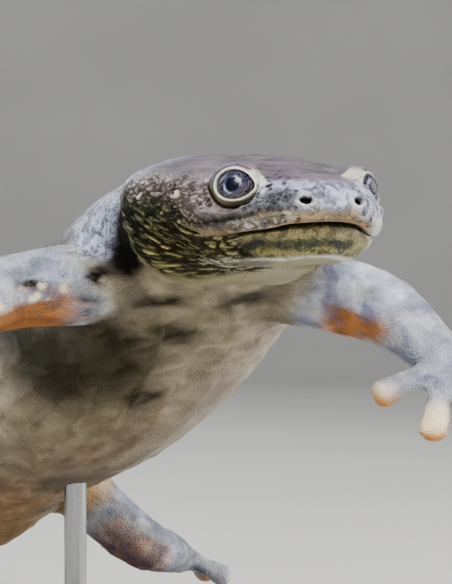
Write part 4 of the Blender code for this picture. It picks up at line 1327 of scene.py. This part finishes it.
def addCamera():
    turn = math.radians(viewPlan["turn"])
    right = Vector((math.cos(turn), math.sin(turn), 0))
    back = Vector((math.sin(turn), -math.cos(turn), 0))
    up = Vector((0, 0, 1))
    data = bpy.data.cameras.new("photo_view")
    data.sensor_fit = "HORIZONTAL"
    data.sensor_width = viewPlan["sensor"]
    data.lens = viewPlan["sensor"] * viewPlan["reach"]
    data.clip_start = 0.01
    camera = bpy.data.objects.new("photo_view", data)
    bpy.context.scene.collection.objects.link(camera)
    at = Vector(headPlan["at"]) + right * viewPlan["across"] + up * viewPlan["down"] + back * viewPlan["far"]
    turned = Matrix((right, up, back)).transposed().to_4x4()
    camera.matrix_world = Matrix.Translation(at * mm) @ turned
    bpy.context.scene.camera = camera


stagePlan = {
    "flat": 1.1,            # metres of level floor, before it curves up all round
    "curve": 0.5,
    "wall": 1.0,
    "level": -0.0005,       # just below the stand
    "steps": 12,
    "sides": 96,
}


def addStage():
    flat, curve, level, steps = (stagePlan[name] for name in ("flat", "curve", "level", "steps"))
    bm = bmesh.new()
    verts = [bm.verts.new((0, 0, level)), bm.verts.new((flat, 0, level))]
    for i in range(1, steps + 1):
        turn = math.radians(90 * i / steps)
        verts.append(bm.verts.new((flat + curve * math.sin(turn), 0, level + curve * (1 - math.cos(turn)))))
    verts.append(bm.verts.new((verts[-1].co.x, 0, curve + stagePlan["wall"])))
    edges = [bm.edges.new(pair) for pair in zip(verts, verts[1:])]
    bmesh.ops.spin(bm, geom=verts + edges, cent=(0, 0, 0), axis=(0, 0, 1), angle=2 * math.pi,
                   steps=stagePlan["sides"], use_merge=True)
    bmesh.ops.remove_doubles(bm, verts=bm.verts, dist=1e-5)
    bmesh.ops.recalc_face_normals(bm, faces=bm.faces)
    for face in bm.faces:
        face.smooth = True
    mesh = bpy.data.meshes.new("floor")
    bm.to_mesh(mesh)
    bm.free()
    floor = bpy.data.objects.new("floor", mesh)
    bpy.context.scene.collection.objects.link(floor)
    mesh.materials.append(stageMaterial())


# Name, place in metres, size, watts and colour of each lamp
lightPlan = (
    ("key", (-0.25, -0.55, 0.62), 0.42, 12.4, (1.0, 0.985, 0.96)),
    ("fill", (0.55, -0.45, 0.30), 0.6, 2.4, (0.94, 0.97, 1.0)),
    ("rim", (-0.30, 0.50, 0.50), 0.5, 4.0, (0.92, 0.95, 1.0)),
    ("low", (0.45, -0.10, 0.22), 0.35, 1.8, (1.0, 0.94, 0.86)),
)

lampTarget = (0, -0.02, 0.06)        # what they all face
roomLight = ((0.86, 0.90, 0.95, 1.0), 0.36)     # colour and strength of the light all round


def addLights():
    target = Vector(lampTarget)
    for name, place, size, power, colour in lightPlan:
        data = bpy.data.lights.new(name, "AREA")
        data.shape = "DISK"
        data.size = size
        data.energy = power
        data.color = colour
        lamp = bpy.data.objects.new(name, data)
        lamp.location = place
        lamp.rotation_euler = (target - Vector(place)).to_track_quat("-Z", "Y").to_euler()
        bpy.context.scene.collection.objects.link(lamp)
    world = bpy.data.worlds.new("studio")
    world.use_nodes = True
    background = world.node_tree.nodes["Background"]
    background.inputs[0].default_value, background.inputs[1].default_value = roomLight
    bpy.context.scene.world = world


addCamera()
addStage()
addLights()
print("camera, floor and lamps set")

skin = makeSkin()
skin.data.materials.clear()
skin.data.materials.append(skinMaterial())
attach(skin, "root")
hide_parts(*fleshNodes)

eyeFinish = eyeMaterial()
for eyeName, eyeSide in (("eye_left", 1), ("eye_right", -1)):
    eye = makeEye(eyeName, eyeSide)
    eye.data.materials.append(eyeFinish)
    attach(eye, "root")
    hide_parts(eyeName)
print("eyes made")

finishes = {"stand_base": woodMaterial(), "stand_rod_front": steelMaterial()}
finishes["stand_rod_rear"] = finishes["stand_rod_front"]
for standName, finish in finishes.items():
    for materialSlot in nodes[standName].material_slots:
        materialSlot.material = finish
print("stand finished")
